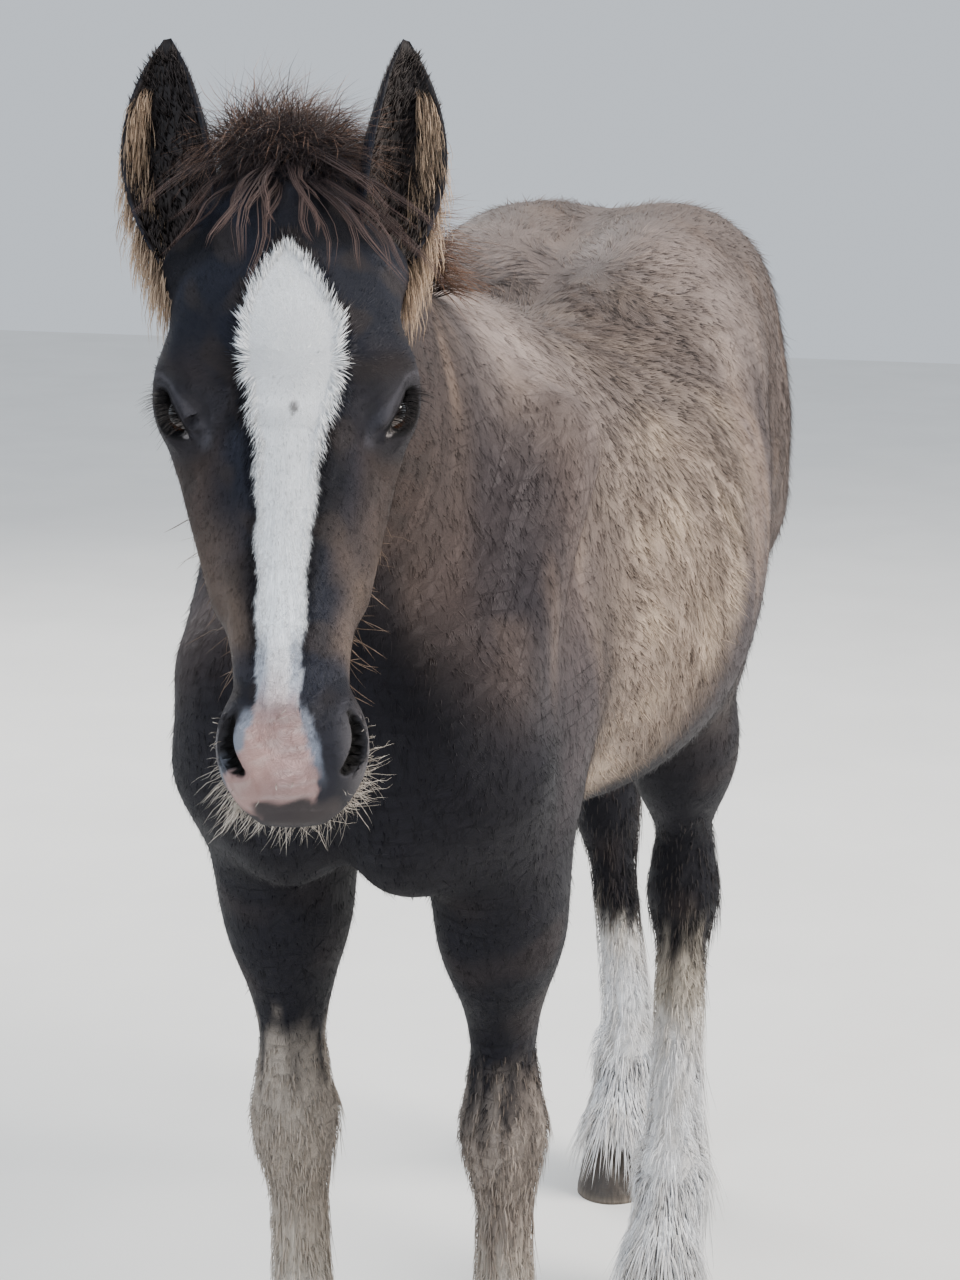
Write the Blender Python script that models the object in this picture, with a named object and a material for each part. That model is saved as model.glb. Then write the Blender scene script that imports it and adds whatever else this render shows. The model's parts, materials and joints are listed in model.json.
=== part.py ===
"""A weanling Irish Cob foal, life size, standing with its head turned to its left.

The foal faces -Y, its left side is +X, and +Z is up. Its flesh is one field of rounded forms, named
after what they model, that melt into each other. Each node is meshed from that field at its own
fineness, reduced, and parted from its neighbours by thin cuts. Long hair belongs to the node that
it grows from. Lengths are metres.
"""

import math

import bmesh
import bpy
import numpy as np
from mathutils import Matrix, Vector

# Driving dimensions of the foal
WITHERS = 1.12
CROUP = 1.185
BACK = 1.085
BELLY = 0.60
CHEST_FLOOR = 0.635
BARREL_WIDTH = 0.46
HIP_WIDTH = 0.385
CHEST_WIDTH = 0.33
CHEST_FRONT = -0.50
BUTTOCK = 0.60
HEAD_LENGTH = 0.485
EAR_LENGTH = 0.185
EYE_RADIUS = 0.0185
KNEE_HEIGHT = 0.395
FETLOCK_HEIGHT = 0.155
CORONET_HEIGHT = 0.057
HOCK_HEIGHT = 0.455
HOOF_WIDTH = 0.086
HOOF_LENGTH = 0.098
TAIL_LENGTH = 0.46

# Pose
POLL = Vector((0.0292, -0.6415, 1.262))
HEAD_YAW = math.radians(21.5)
FACE_SLOPE = math.radians(25)
FORE_FEET = {"left": (0.088, -0.360), "right": (-0.094, -0.390)}
HIND_FEET = {"left": (0.115, 0.175), "right": (-0.022, 0.515)}

GAP = 0.0003  # between nodes that touch
SIDES = {"left": 1, "right": -1}
FAR = 0.10  # a form is worked out this far outside the ball that holds it
UP = Vector((0, 0, 1))
BACKWARD = Vector((0, 1, 0))


# Fields


def melted(a, b, width):
    """The lesser of two distances, with the crease between them filled over that width."""
    near = np.maximum(width - np.abs(a - b), 0) / width
    return np.minimum(a, b) - near * near * width / 4


def carved(a, b, width):
    """Distance a with the inside of b taken away."""
    return -melted(-a, b, width)


def smooth_curve(keys, values, at):
    """The value at each place on one smooth curve through the keys."""
    keys, values = np.asarray(keys, float), np.asarray(values, float)
    slopes = np.gradient(values, keys)
    at = np.clip(at, keys[0], keys[-1])
    i = np.clip(np.searchsorted(keys, at) - 1, 0, len(keys) - 2)
    span = keys[i + 1] - keys[i]
    t = (at - keys[i]) / span
    return (
        (1 + 2 * t) * (1 - t) ** 2 * values[i]
        + t * (1 - t) ** 2 * span * slopes[i]
        + t * t * (3 - 2 * t) * values[i + 1]
        + t * t * (t - 1) * span * slopes[i + 1]
    )


class Field:
    """Forms that melt into each other, as a distance that is negative inside."""

    def __init__(self):
        self.forms = []

    def add(self, distance, centre, reach, melt, carve=False):
        self.forms.append((distance, np.array(centre, float), reach, melt, carve))

    def __call__(self, points):
        points = np.asarray(points, float)
        found = np.full(len(points), 2 * FAR)
        for distance, centre, reach, melt, carve in self.forms:
            near = np.flatnonzero(((points - centre) ** 2).sum(1) < (reach + FAR) ** 2)
            if len(near):
                join = carved if carve else melted
                found[near] = join(found[near], distance(points[near]), melt)
        return found

    def egg(self, centre, radii, axes=None, melt=0.03, carve=False):
        """An ellipsoid, added or carved out. axes are its three directions, or else the world's."""
        centre, radii = np.array(centre, float), np.array(radii, float)
        turn = np.eye(3) if axes is None else np.array(axes, float)

        def distance(p):
            q = (p - centre) @ turn.T
            k = np.sqrt(((q / radii) ** 2).sum(1)) + 1e-9
            return k * (k - 1) / (np.sqrt(((q / radii**2) ** 2).sum(1)) + 1e-9)

        self.add(distance, centre, radii.max(), melt, carve)

    def limb(self, a, b, ra, rb, wide=1.0, side=(1, 0, 0), melt=0.03):
        """A rod from a to b that tapers from ra to rb. wide stretches it along side."""
        a, b, side = (np.array(v, float) for v in (a, b, side))
        side /= np.linalg.norm(side)
        line = b - a

        def distance(p):
            t = np.clip(((p - a) @ line) / (line @ line), 0, 1)
            q = p - a - t[:, None] * line
            q = q + np.outer(q @ side, side) * (1 / wide - 1)
            return (np.sqrt((q * q).sum(1)) - (ra + (rb - ra) * t)) * min(1, wide)

        reach = np.linalg.norm(line) / 2 + max(ra, rb) * max(1, wide)
        self.add(distance, (a + b) / 2, reach, melt)

    def limbs(self, points, radii, wide=1.0, side=(1, 0, 0), melt=0.03):
        for a, b, ra, rb in zip(points, points[1:], radii, radii[1:]):
            self.limb(a, b, ra, rb, wide, side, melt)

    def loft(self, frame, stations, power, melt=0.03):
        """An oval body along a line. frame is its origin and its directions along, up and across.

        Each station is a place along the line, the oval's upper and lower edge, how high in it the
        oval is widest, as a share, and its half width.
        """
        origin, along, up, across = (np.array(v, float) for v in frame)
        place, top, bottom, share, half = np.array(stations, float).T
        middle_place = (place[0] + place[-1]) / 2
        middle_height = (top.max() + bottom.min()) / 2
        centre = origin + along * middle_place + up * middle_height
        reach = np.linalg.norm(
            [place[-1] - middle_place, top.max() - middle_height, half.max()]
        )

        def distance(p):
            q = p - origin
            t, u, w = q @ along, q @ up, q @ across
            past = t - np.clip(t, place[0], place[-1])
            upper, lower = (smooth_curve(place, v, t) for v in (top, bottom))
            level = lower + (upper - lower) * smooth_curve(place, share, t)
            height = np.where(u > level, upper - level, level - lower)
            width = smooth_curve(place, half, t)
            ring = (
                np.abs((u - level) / height) ** power + np.abs(w / width) ** power
            ) ** (1 / power) + 1e-6
            away = np.hypot(u - level, w) * (1 - 1 / ring)
            return np.where(past == 0, away, np.hypot(np.maximum(away, 0), past))

        self.add(distance, centre, reach, melt)


def meshed(field, low, high, step):
    """Corners and triangles of the field's surface in a box, by marching through tetrahedra.

    Past the box the field counts as outside, so the surface is always closed.
    """
    low, high = np.array(low, float), np.array(high, float)
    count = np.ceil((high - low) / step).astype(int) + 3
    axes = [low[i] + step * (np.arange(count[i]) - 1) for i in range(3)]
    grid = np.stack(np.meshgrid(*axes, indexing="ij"), -1).reshape(-1, 3)
    value = field(grid).reshape(count)
    edge = np.ones(count, bool)
    edge[1:-1, 1:-1, 1:-1] = False
    value[edge] = np.maximum(value[edge], step)
    flat = value.ravel()
    flat = np.where(np.abs(flat) < 1e-3 * step, 1e-3 * step, flat)
    inside = flat < 0
    corner = np.array(
        [(0, 0, 0), (1, 0, 0), (1, 1, 0), (0, 1, 0), (0, 0, 1), (1, 0, 1), (1, 1, 1), (0, 1, 1)]
    )
    strides = np.array([count[1] * count[2], count[2], 1])
    first = np.arange(flat.size).reshape(count)[:-1, :-1, :-1].ravel()
    cubes = first[:, None] + corner @ strides
    share = inside[cubes].sum(1)
    cubes = cubes[(share > 0) & (share < 8)]
    tetrahedra = np.concatenate(
        [cubes[:, [0, a, b, 6]] for a, b in ((5, 1), (1, 2), (2, 3), (3, 7), (7, 4), (4, 5))]
    )
    within = inside[tetrahedra].sum(1)
    order = np.argsort(~inside[tetrahedra], axis=1, kind="stable")
    tetrahedra = np.take_along_axis(tetrahedra, order, 1)
    edges, hearts = [], []
    for number, faces in (
        (1, (((0, 1), (0, 2), (0, 3)),)),
        (3, (((0, 3), (1, 3), (2, 3)),)),
        (2, (((0, 2), (0, 3), (1, 3)), ((0, 2), (1, 3), (1, 2)))),
    ):
        chosen = tetrahedra[within == number]
        for face in faces:
            edges.append(chosen[:, np.array(face)])
            hearts.append(chosen[:, 0])
    edges, hearts = np.concatenate(edges), np.concatenate(hearts)
    pairs, index = np.unique(np.sort(edges.reshape(-1, 2), 1), axis=0, return_inverse=True)
    a, b = flat[pairs[:, 0]], flat[pairs[:, 1]]
    t = (a / (a - b))[:, None]
    points = grid[pairs[:, 0]] * (1 - t) + grid[pairs[:, 1]] * t
    faces = index.reshape(-1, 3)
    p = points[faces]
    facing = np.einsum(
        "ij,ij->i", np.cross(p[:, 1] - p[:, 0], p[:, 2] - p[:, 0]), p[:, 0] - grid[hearts]
    )
    faces[facing < 0] = faces[facing < 0][:, ::-1]
    return points, faces


def skin_point(field, start, direction, reach=0.35):
    """Where a line from inside the flesh leaves it."""
    steps = np.linspace(0, reach, 400)
    line = np.array(start) + np.outer(steps, np.array(direction))
    outside = np.flatnonzero(field(line) > 0)
    return Vector(line[outside[0]])


# The head has its own frame: along runs from poll to lips, out leaves the face, across is its left


TURN = Matrix.Rotation(HEAD_YAW, 3, "Z")
ALONG = TURN @ Vector((0, -math.sin(FACE_SLOPE), -math.cos(FACE_SLOPE)))
OUT = TURN @ Vector((0, -math.cos(FACE_SLOPE), math.sin(FACE_SLOPE)))
ACROSS = TURN @ Vector((1, 0, 0))
HEAD_AXES = np.array([ALONG, OUT, ACROSS])
EYE_PLACE = (0.380, -0.064, 0.138)
LID = 0.0035  # how far the lids stand over the eye


def on_head(along, out, across):
    """A point of the head, in head lengths from the poll."""
    return POLL + HEAD_LENGTH * (ALONG * along + OUT * out + ACROSS * across)


def eye_centre(side):
    along, out, across = EYE_PLACE
    return on_head(along, out, across * side)


def eye_axes(side):
    """Directions along the lids' slit, over it towards the brow, and out of the eye."""
    look = (ACROSS * side * 0.80 + OUT * 0.58 + ALONG * 0.06).normalized()
    slit = (ALONG * 0.90 + OUT * 0.42).normalized()
    slit = (slit - look * slit.dot(look)).normalized()
    over = slit.cross(look) * side
    return slit, over, look


def ear_frame(side):
    """Root, and directions up the ear, across it and out of its opening."""
    root = on_head(0.150, -0.105, side * 0.130)
    up = (-ALONG + ACROSS * side * {1: 0.16, -1: 0.115}[side] + OUT * 0.02).normalized()
    turned = math.radians({1: 30, -1: 12}[side])  # how far the opening looks away from the face
    opening = OUT * math.cos(turned) + ACROSS * side * math.sin(turned)
    opening = (opening - up * opening.dot(up)).normalized()
    return root, up, up.cross(opening), opening


def head_forms(field):
    size = HEAD_LENGTH
    stations = (
        # along, face, jaw, widest, half width
        (0.005, -0.075, -0.17, 0.5, 0.055),
        (0.09, -0.020, -0.27, 0.6, 0.110),
        (0.20, 0.014, -0.38, 0.7, 0.150),
        (0.32, 0.018, -0.41, 0.7, 0.162),
        (0.45, 0.004, -0.375, 0.7, 0.152),
        (0.60, -0.012, -0.300, 0.6, 0.118),
        (0.74, -0.022, -0.245, 0.6, 0.088),
        (0.86, -0.030, -0.215, 0.6, 0.082),
        (0.94, -0.065, -0.190, 0.6, 0.064),
        (0.97, -0.10, -0.160, 0.6, 0.040),
    )
    scaled = [(a * size, f * size, j * size, w, h * size) for a, f, j, w, h in stations]
    field.loft((POLL, ALONG, OUT, ACROSS), scaled, power=2.3, melt=0.02)

    def egg(place, radii, melt=0.02):
        field.egg(on_head(*place), [r * size for r in radii], HEAD_AXES, melt)

    def limb(a, b, ra, rb, wide=1.0):
        field.limb(on_head(*a), on_head(*b), ra * size, rb * size, wide, ACROSS, 0.02)

    egg((0.20, -0.040, 0), (0.16, 0.06, 0.12))  # forehead
    egg((0.940, -0.118, 0), (0.038, 0.056, 0.058))  # upper lip
    egg((0.895, -0.195, 0), (0.045, 0.036, 0.046))  # lower lip
    egg((0.840, -0.222, 0), (0.048, 0.034, 0.040))  # chin
    limb((0.42, -0.050, 0), (0.82, -0.072, 0), 0.062, 0.044, wide=1.2)  # nasal bones
    for side in (1, -1):
        egg((0.350, -0.082, side * 0.136), (0.090, 0.060, 0.064))  # orbit
        limb((0.16, -0.07, side * 0.095), (0.32, -0.045, side * 0.135), 0.05, 0.045)  # brow
        egg((0.34, -0.270, side * 0.096), (0.155, 0.150, 0.064))  # cheek
        limb((0.44, -0.120, side * 0.124), (0.64, -0.125, side * 0.086), 0.036, 0.026)  # crest
        egg((0.872, -0.080, side * 0.068), (0.075, 0.056, 0.044), melt=0.012)  # nostril wing
        egg((0.912, -0.123, side * 0.050), (0.05, 0.054, 0.038), melt=0.015)  # lip
        slit, over, look = axes = eye_axes(side)
        centre = eye_centre(side)
        before = centre + look * (EYE_RADIUS + LID + 0.015)
        field.egg(before, (0.036, 0.026, 0.016), axes, 0.012, carve=True)
        field.egg(centre, [EYE_RADIUS + LID] * 3, melt=0.006)
        lid = centre + over * 0.0125 + look * 0.0125
        field.egg(lid, (0.023, 0.0065, 0.010), axes, 0.008)  # upper lid
        lid = centre - over * 0.0120 + look * 0.0120
        field.egg(lid, (0.020, 0.0050, 0.009), axes, 0.008)  # lower lid
        root, up, _, _ = ear_frame(side)
        field.limb(root - up * 0.03 - ACROSS * side * 0.02, root, 0.036, 0.027, melt=0.025)


# Trunk, neck and legs


def trunk_forms(field):
    length = BUTTOCK - CHEST_FRONT

    def place(share):
        return CHEST_FRONT + share * length

    barrel, hip, chest = BARREL_WIDTH / 2, HIP_WIDTH / 2, CHEST_WIDTH / 2
    stations = (
        # place, back, belly, widest, half width
        (place(0.02), 0.93, 0.74, 0.4, 0.08),
        (place(0.10), 1.03, 0.68, 0.4, chest - 0.05),
        (place(0.20), WITHERS - 0.01, CHEST_FLOOR + 0.01, 0.42, chest - 0.032),
        (place(0.31), WITHERS - 0.004, CHEST_FLOOR, 0.44, chest + 0.006),
        (place(0.45), BACK, BELLY + 0.010, 0.46, barrel),
        (place(0.58), BACK + 0.016, BELLY + 0.025, 0.50, barrel + 0.002),
        (place(0.70), CROUP - 0.045, BELLY + 0.125, 0.54, hip + 0.01),
        (place(0.82), CROUP - 0.025, 0.80, 0.50, hip - 0.03),
        (place(0.93), CROUP - 0.090, 0.86, 0.50, 0.105),
        (place(0.99), CROUP - 0.160, 0.92, 0.50, 0.05),
    )
    field.loft(((0, 0, 0), (0, 1, 0), (0, 0, 1), (1, 0, 0)), stations, power=2.25, melt=0.05)
    field.egg((0, -0.425, 0.80), (0.10, 0.080, 0.11), melt=0.05)  # breast
    field.limb((0, -0.33, WITHERS - 0.06), (0, -0.16, WITHERS - 0.05), 0.05, 0.045, melt=0.05)
    for side in (1, -1):
        blade, shoulder = (side * 0.108, -0.27, 1.000), (side * 0.098, -0.42, 0.83)
        field.limb(blade, shoulder, 0.062, 0.060, melt=0.05)  # shoulder blade
        field.egg((side * 0.090, -0.425, 0.785), (0.055, 0.070, 0.085), melt=0.04)
        field.egg((side * 0.115, -0.29, 0.77), (0.050, 0.11, 0.11), melt=0.05)  # triceps
        field.egg((side * 0.050, -0.440, 0.725), (0.060, 0.060, 0.078), melt=0.03)  # pectoral
        field.egg((side * 0.080, 0.32, CROUP - 0.130), (0.105, 0.21, 0.118), melt=0.05)  # croup
        field.egg((side * 0.135, 0.20, 1.03), (0.055, 0.07, 0.05), melt=0.06)  # hip
        field.egg((side * 0.105, 0.40, 0.92), (0.088, 0.155, 0.155), melt=0.05)  # thigh
        seat, thigh = (side * 0.070, 0.530, 0.985), (side * 0.095, 0.485, 0.83)
        field.limb(seat, thigh, 0.062, 0.066, melt=0.05)  # buttock
    field.egg((0, 0.50, CROUP - 0.115), (0.05, 0.09, 0.06), melt=0.04)  # tail head


NECK_ROOT = Vector((0, -0.29, 0.935))
NECK_BEND = Vector((-0.004, -0.52, 1.09))
NECK_TOP = on_head(0.10, -0.17, 0)
NECK_FORMS = 8


def neck_line(share):
    """A point of the neck's middle line, and its directions ahead, up and across there."""
    left = 1 - share
    point = NECK_ROOT * left**2 + NECK_BEND * (2 * share * left) + NECK_TOP * share**2
    ahead = ((NECK_BEND - NECK_ROOT) * left + (NECK_TOP - NECK_BEND) * share).normalized()
    across = Vector((1, 0, 0)).lerp(ACROSS, share)
    across = (across - ahead * across.dot(ahead)).normalized()
    return point, ahead, ahead.cross(across), across


def neck_forms(field):
    for i in range(NECK_FORMS):
        share = i / (NECK_FORMS - 1)
        point, ahead, up, across = neck_line(share)
        depth = 0.190 + (0.092 - 0.190) * share**0.8
        width = 0.105 + (0.060 - 0.105) * share
        field.egg(point, (0.085, depth, width), (ahead, up, across), 0.05)


def fore_joints(side_name):
    """Elbow, knee, fetlock and coronet of a foreleg."""
    side = SIDES[side_name]
    x, y = FORE_FEET[side_name]
    elbow = Vector((side * 0.098, -0.30, 0.680))
    fetlock = Vector((x, y + 0.064, FETLOCK_HEIGHT))
    knee = Vector((x + 0.002 * side, y + 0.061, KNEE_HEIGHT))
    coronet = Vector((x, y + 0.020, CORONET_HEIGHT))
    return elbow, knee, fetlock, coronet


def foreleg_forms(field, side_name):
    side = SIDES[side_name]
    elbow, knee, fetlock, coronet = fore_joints(side_name)
    shoulder = Vector((side * 0.105, -0.415, 0.74))
    brachialis = Vector((side * 0.097, -0.335, 0.60))
    field.limb(shoulder, brachialis, 0.056, 0.046, melt=0.05)
    field.limb(elbow - BACKWARD * 0.02, knee + UP * 0.07, 0.070, 0.038, 0.80, melt=0.04)
    field.egg(elbow - UP * 0.06 - BACKWARD * 0.03, (0.046, 0.06, 0.10), melt=0.04)
    field.egg(elbow + BACKWARD * 0.045, (0.035, 0.045, 0.05), melt=0.04)  # point of elbow
    field.egg(knee + UP * 0.008, (0.041, 0.043, 0.060), melt=0.03)
    field.egg(knee + BACKWARD * 0.030 + UP * 0.012, (0.022, 0.024, 0.028), melt=0.02)
    field.limb(knee, fetlock + UP * 0.03, 0.031, 0.026, 0.95)  # cannon
    field.limb(knee + BACKWARD * 0.022, fetlock + BACKWARD * 0.018, 0.020, 0.018)  # tendons
    foot_forms(field, fetlock, coronet)


def foot_forms(field, fetlock, coronet):
    field.egg(fetlock, (0.035, 0.036, 0.036), melt=0.02)
    field.egg(fetlock + BACKWARD * 0.018 - UP * 0.008, (0.025, 0.024, 0.030), melt=0.02)
    field.limb(fetlock, coronet + UP * 0.01, 0.030, 0.035, melt=0.02)  # pastern
    field.limb(coronet + UP * 0.02, coronet - UP * 0.03, 0.036, 0.037, melt=0.01)


def hind_joints(side_name):
    """Hip, stifle, hock, fetlock and coronet of a hind leg."""
    side = SIDES[side_name]
    x, y = HIND_FEET[side_name]
    forward = 0.42 - y  # how far the foot stands in front of its usual place
    hip = Vector((side * 0.100, 0.36, 0.93))
    stifle = Vector((side * 0.118, 0.245 - 0.20 * forward, 0.735))
    hock = Vector((0.4 * side * 0.10 + 0.6 * x, y + 0.085 + 0.14 * forward, HOCK_HEIGHT))
    fetlock = Vector((x, y + 0.056, FETLOCK_HEIGHT + 0.005))
    coronet = Vector((x, y + 0.018, CORONET_HEIGHT))
    return hip, stifle, hock, fetlock, coronet


def hind_leg_forms(field, side_name):
    hip, stifle, hock, fetlock, coronet = hind_joints(side_name)
    field.egg(stifle, (0.055, 0.070, 0.085), melt=0.05)
    field.limb(hip, stifle, 0.095, 0.070, 0.85, melt=0.05)
    middle = stifle.lerp(hock, 0.42) + BACKWARD * 0.02
    field.limb(stifle + BACKWARD * 0.03, middle, 0.080, 0.058, 0.78, melt=0.05)  # gaskin
    seat = Vector((SIDES[side_name] * 0.095, 0.485, 0.85))
    field.limb(seat, middle + BACKWARD * 0.015, 0.070, 0.046, 0.80, melt=0.06)  # hamstring
    field.limb(middle, hock + UP * 0.05, 0.056, 0.034, 0.88, melt=0.04)
    point = hock + BACKWARD * 0.046 + UP * 0.045
    field.limb(middle + BACKWARD * 0.045, point, 0.024, 0.016)  # tendon above the hock
    field.limb(point, hock - UP * 0.03 + BACKWARD * 0.02, 0.019, 0.018, melt=0.02)
    field.egg(hock, (0.038, 0.046, 0.055), melt=0.03)
    field.limb(hock - UP * 0.02, fetlock + UP * 0.03, 0.034, 0.028, 0.92)  # cannon
    top = hock + BACKWARD * 0.025 - UP * 0.04
    field.limb(top, fetlock + BACKWARD * 0.02, 0.020, 0.018)  # tendons
    foot_forms(field, fetlock, coronet)


def body_field(legs=("fore left", "fore right", "hind left", "hind right")):
    """Trunk and neck, with the legs that are asked for."""
    field = Field()
    trunk_forms(field)
    neck_forms(field)
    for leg in legs:
        pair, side_name = leg.split()
        if pair == "fore":
            foreleg_forms(field, side_name)
        else:
            hind_leg_forms(field, side_name)
    return field


def foal_field():
    """All the flesh."""
    field = body_field()
    head_forms(field)
    return field


# Long hair: a core half way to its tips, and flat locks rooted in it


def unit(vectors):
    size = np.linalg.norm(vectors, axis=-1, keepdims=True)
    return vectors / np.maximum(size, 1e-9)


def slope(field, points):
    """The direction straight out of the flesh at each point."""
    sides = []
    for step in np.eye(3) * 0.002:
        sides.append(field(points + step) - field(points - step))
    return unit(np.stack(sides, 1))


class Locks:
    """Roots on the skin, each with the direction that its lock lies in, its length and its width."""

    def __init__(self, seed):
        self.random = np.random.default_rng(seed)
        self.rows = []

    def add(self, root, lie, length, width):
        stray = Vector(self.random.uniform(-0.16, 0.16, 3))
        longer = self.random.uniform(0.85, 1.15)
        self.rows.append((root, Vector(lie).normalized() + stray, length * longer, width))

    def combed(self, field, lift, fall, steps, near, sunk=0.010):
        """One closed strip for each lock.

        It starts sunk in the flesh, leans out of the skin by lift, bends down by fall at each step, and
        stays that near above the field.
        """
        roots, lies, lengths, widths = zip(*self.rows)
        points, lies = np.array(roots, float), np.array(lies, float)
        stride = np.array(lengths)[:, None] / steps
        out = slope(field, points)
        heading = unit(lies - out * (lies * out).sum(1, keepdims=True)) + out * lift
        paths, broad = [points - out * sunk], [unit(np.cross(out, heading))]
        for _ in range(steps):
            heading = unit(heading - np.array(UP) * fall)
            points = points + heading * stride
            out = slope(field, points)
            points = points + out * np.maximum(near - field(points), 0)[:, None]
            points[:, 2] = np.maximum(points[:, 2], LOWEST_TIP)
            paths.append(points)
            side = unit(np.cross(out, heading))
            lost = np.linalg.norm(side, axis=1) < 0.5
            side[lost] = broad[-1][lost]
            broad.append(side)
        paths, broad = np.stack(paths, 1), np.stack(broad, 1)
        return [lock(path, side, w) for path, side, w in zip(paths, broad, widths)]


LOWEST_TIP = 0.008
LOCK_KEYS, LOCK_WIDTHS = (0, 0.25, 0.6, 0.85, 1), (0.75, 1.0, 0.85, 0.5, 0)
LOCK_THICKNESS = 0.38  # of its width


def lock(path, sides, width):
    """A flat strip with four corners at each point of its path but the tip, where it ends."""
    ahead = unit(np.gradient(path, axis=0))
    points, last = [], len(path) - 1
    for i in range(last):
        half = width / 2 * smooth_curve(LOCK_KEYS, LOCK_WIDTHS, i / last)
        over = np.cross(ahead[i], sides[i]) * LOCK_THICKNESS
        points += [path[i] + half * d for d in (sides[i], over, -sides[i], -over)]
    points.append(path[last])
    tip = len(points) - 1
    faces = [(3, 2, 1, 0)]
    for corner in range(4):
        after = (corner + 1) % 4
        for ring in range(0, tip - 4, 4):
            faces.append((ring + corner, ring + after, ring + 4 + after, ring + 4 + corner))
        faces.append((tip - 4 + corner, tip - 4 + after, tip))
    obj = mesh_object("lock", points, faces)
    face_out(obj)
    return obj


def mane_form(field):
    """The root of a foal's upright mane, from the withers to the poll."""
    flesh = foal_field()
    shares = np.linspace(0.25, 1.0, 7)
    crest = [skin_point(flesh, neck_line(s)[0], neck_line(s)[2]) for s in shares]
    field.limbs([p + UP * 0.004 for p in crest], [0.008] + [0.018] * 6, melt=0.02)


def forelock_form(field):
    crown = (on_head(-0.02, -0.09, 0.01), on_head(0.05, -0.01, 0), on_head(0.15, 0.018, 0))
    field.limbs(crown, (0.036, 0.026, 0.008), 1.4, ACROSS, melt=0.02)


def mane_locks(field):
    """Bushy hair that stands up and tips over to the left."""
    locks = Locks(3)
    for share in np.linspace(0.36, 1.0, 9):
        point, ahead, up, across = neck_line(share)
        for lean in (-0.25, 0.30):
            root = skin_point(field, point, (up + across * lean).normalized())
            locks.add(root, across * (0.75 + lean) - ahead * 0.75 + UP * 0.4, 0.090, 0.030)
    return locks.combed(field, 0.75, 0.16, 4, 0.003)


def forelock_locks(field):
    """A tuft that stands between the ears, and wisps down the forehead."""
    heart = on_head(0.12, -0.14, 0)
    locks = Locks(5)
    for number, lean in enumerate(np.linspace(-0.34, 0.34, 8)):
        way = -ALONG * 0.85 + OUT * (0.05 + 0.25 * (number % 2)) + ACROSS * lean
        root = skin_point(field, heart, way.normalized())
        locks.add(root, UP + ACROSS * (lean * 0.7 + 0.15) - BACKWARD * 0.3, 0.060, 0.022)
    standing = locks.combed(field, 1.0, 0.16, 4, 0.004)
    locks = Locks(6)
    for number, lean in enumerate(np.linspace(-0.30, 0.30, 7)):
        way = -ALONG * (0.32 + 0.25 * (number % 2)) + OUT * 0.85 + ACROSS * lean
        root = skin_point(field, heart, way.normalized())
        locks.add(root, ALONG * 0.9 + ACROSS * lean * 0.9, 0.095, 0.014)
    return standing + locks.combed(field, 0.30, 0.08, 4, 0.002)


def beard_locks(field):
    """Curly hair on the chin, the lips and the jaw."""
    locks = Locks(8)
    heart = on_head(0.86, -0.14, 0)
    for lean in np.linspace(-1, 1, 5):
        for ahead in (0.10, 0.75):
            way = -OUT + ALONG * ahead + ACROSS * lean * 0.9
            root = skin_point(field, heart, way.normalized())
            locks.add(root, -OUT * 0.7 + ALONG * 0.5 + ACROSS * lean * 0.7, 0.032, 0.010)
    curly = locks.combed(field, 0.8, 0.10, 3, 0.002, 0.006)
    locks = Locks(9)
    for along in (0.56, 0.68):
        for side in (1, -1):
            way = -OUT + ACROSS * side * 0.35
            root = skin_point(field, on_head(along, -0.16, 0), way.normalized())
            locks.add(root, ALONG * 0.6 - OUT * 0.3 + ACROSS * side * 0.3, 0.050, 0.014)
    return curly + locks.combed(field, 0.5, 0.12, 3, 0.003)


def feather_form(field, joint, fetlock, coronet):
    """The root of the long hair behind the cannon and round the pastern."""
    behind = joint + BACKWARD * 0.026 - UP * 0.10
    field.limb(behind, fetlock + BACKWARD * 0.030, 0.012, 0.018, melt=0.03)
    field.egg(fetlock + BACKWARD * 0.022 - UP * 0.03, (0.040, 0.038, 0.050), melt=0.03)


def feather_locks(field, foot, joint, fetlock, coronet):
    """Rows down the back of the cannon, then a skirt over the hoof."""
    clear = Field()
    clear.forms += field.forms
    x, y = foot
    heel = Vector((x, y, 0.01))
    clear.limb(heel, coronet, 0.046, 0.038, 1.0, melt=0.01)
    locks = Locks(11)
    top = joint - UP * 0.085
    for share in (0.05, 0.50):
        heart = top.lerp(fetlock + UP * 0.02, share)
        for turn in (-0.7, 0, 0.7):
            way = BACKWARD + Vector((turn, 0, 0))
            root = skin_point(field, heart, way.normalized())
            locks.add(root, -UP, 0.120, 0.028)
    rows = locks.combed(clear, 0.05, 0.16, 3, 0.003)
    locks = Locks(12)
    heart = fetlock + UP * 0.005
    for turn in np.radians(np.linspace(-130, 130, 8)):
        way = Vector((math.sin(turn), math.cos(turn), 0))
        root = skin_point(field, heart, way)
        length = 0.120 + 0.020 * math.cos(turn)
        locks.add(root, -UP, length, 0.038)
    return rows + locks.combed(clear, 0.10, 0.30, 4, 0.003)


def tail_joints():
    dock = Vector((0, BUTTOCK - 0.045, CROUP - 0.120))
    tip = Vector((0.004, BUTTOCK + 0.070, dock.z - TAIL_LENGTH))
    bend = Vector((0, BUTTOCK + 0.045, dock.z - 0.08))
    middle = bend.lerp(tip, 0.5) + BACKWARD * 0.012
    return dock, bend, middle, tip


def tail_form(field):
    dock, bend, middle, tip = tail_joints()
    end = middle.lerp(tip, 0.5)
    field.limbs([dock, bend, middle, end], [0.030, 0.033, 0.032, 0.010], 1.2)


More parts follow.
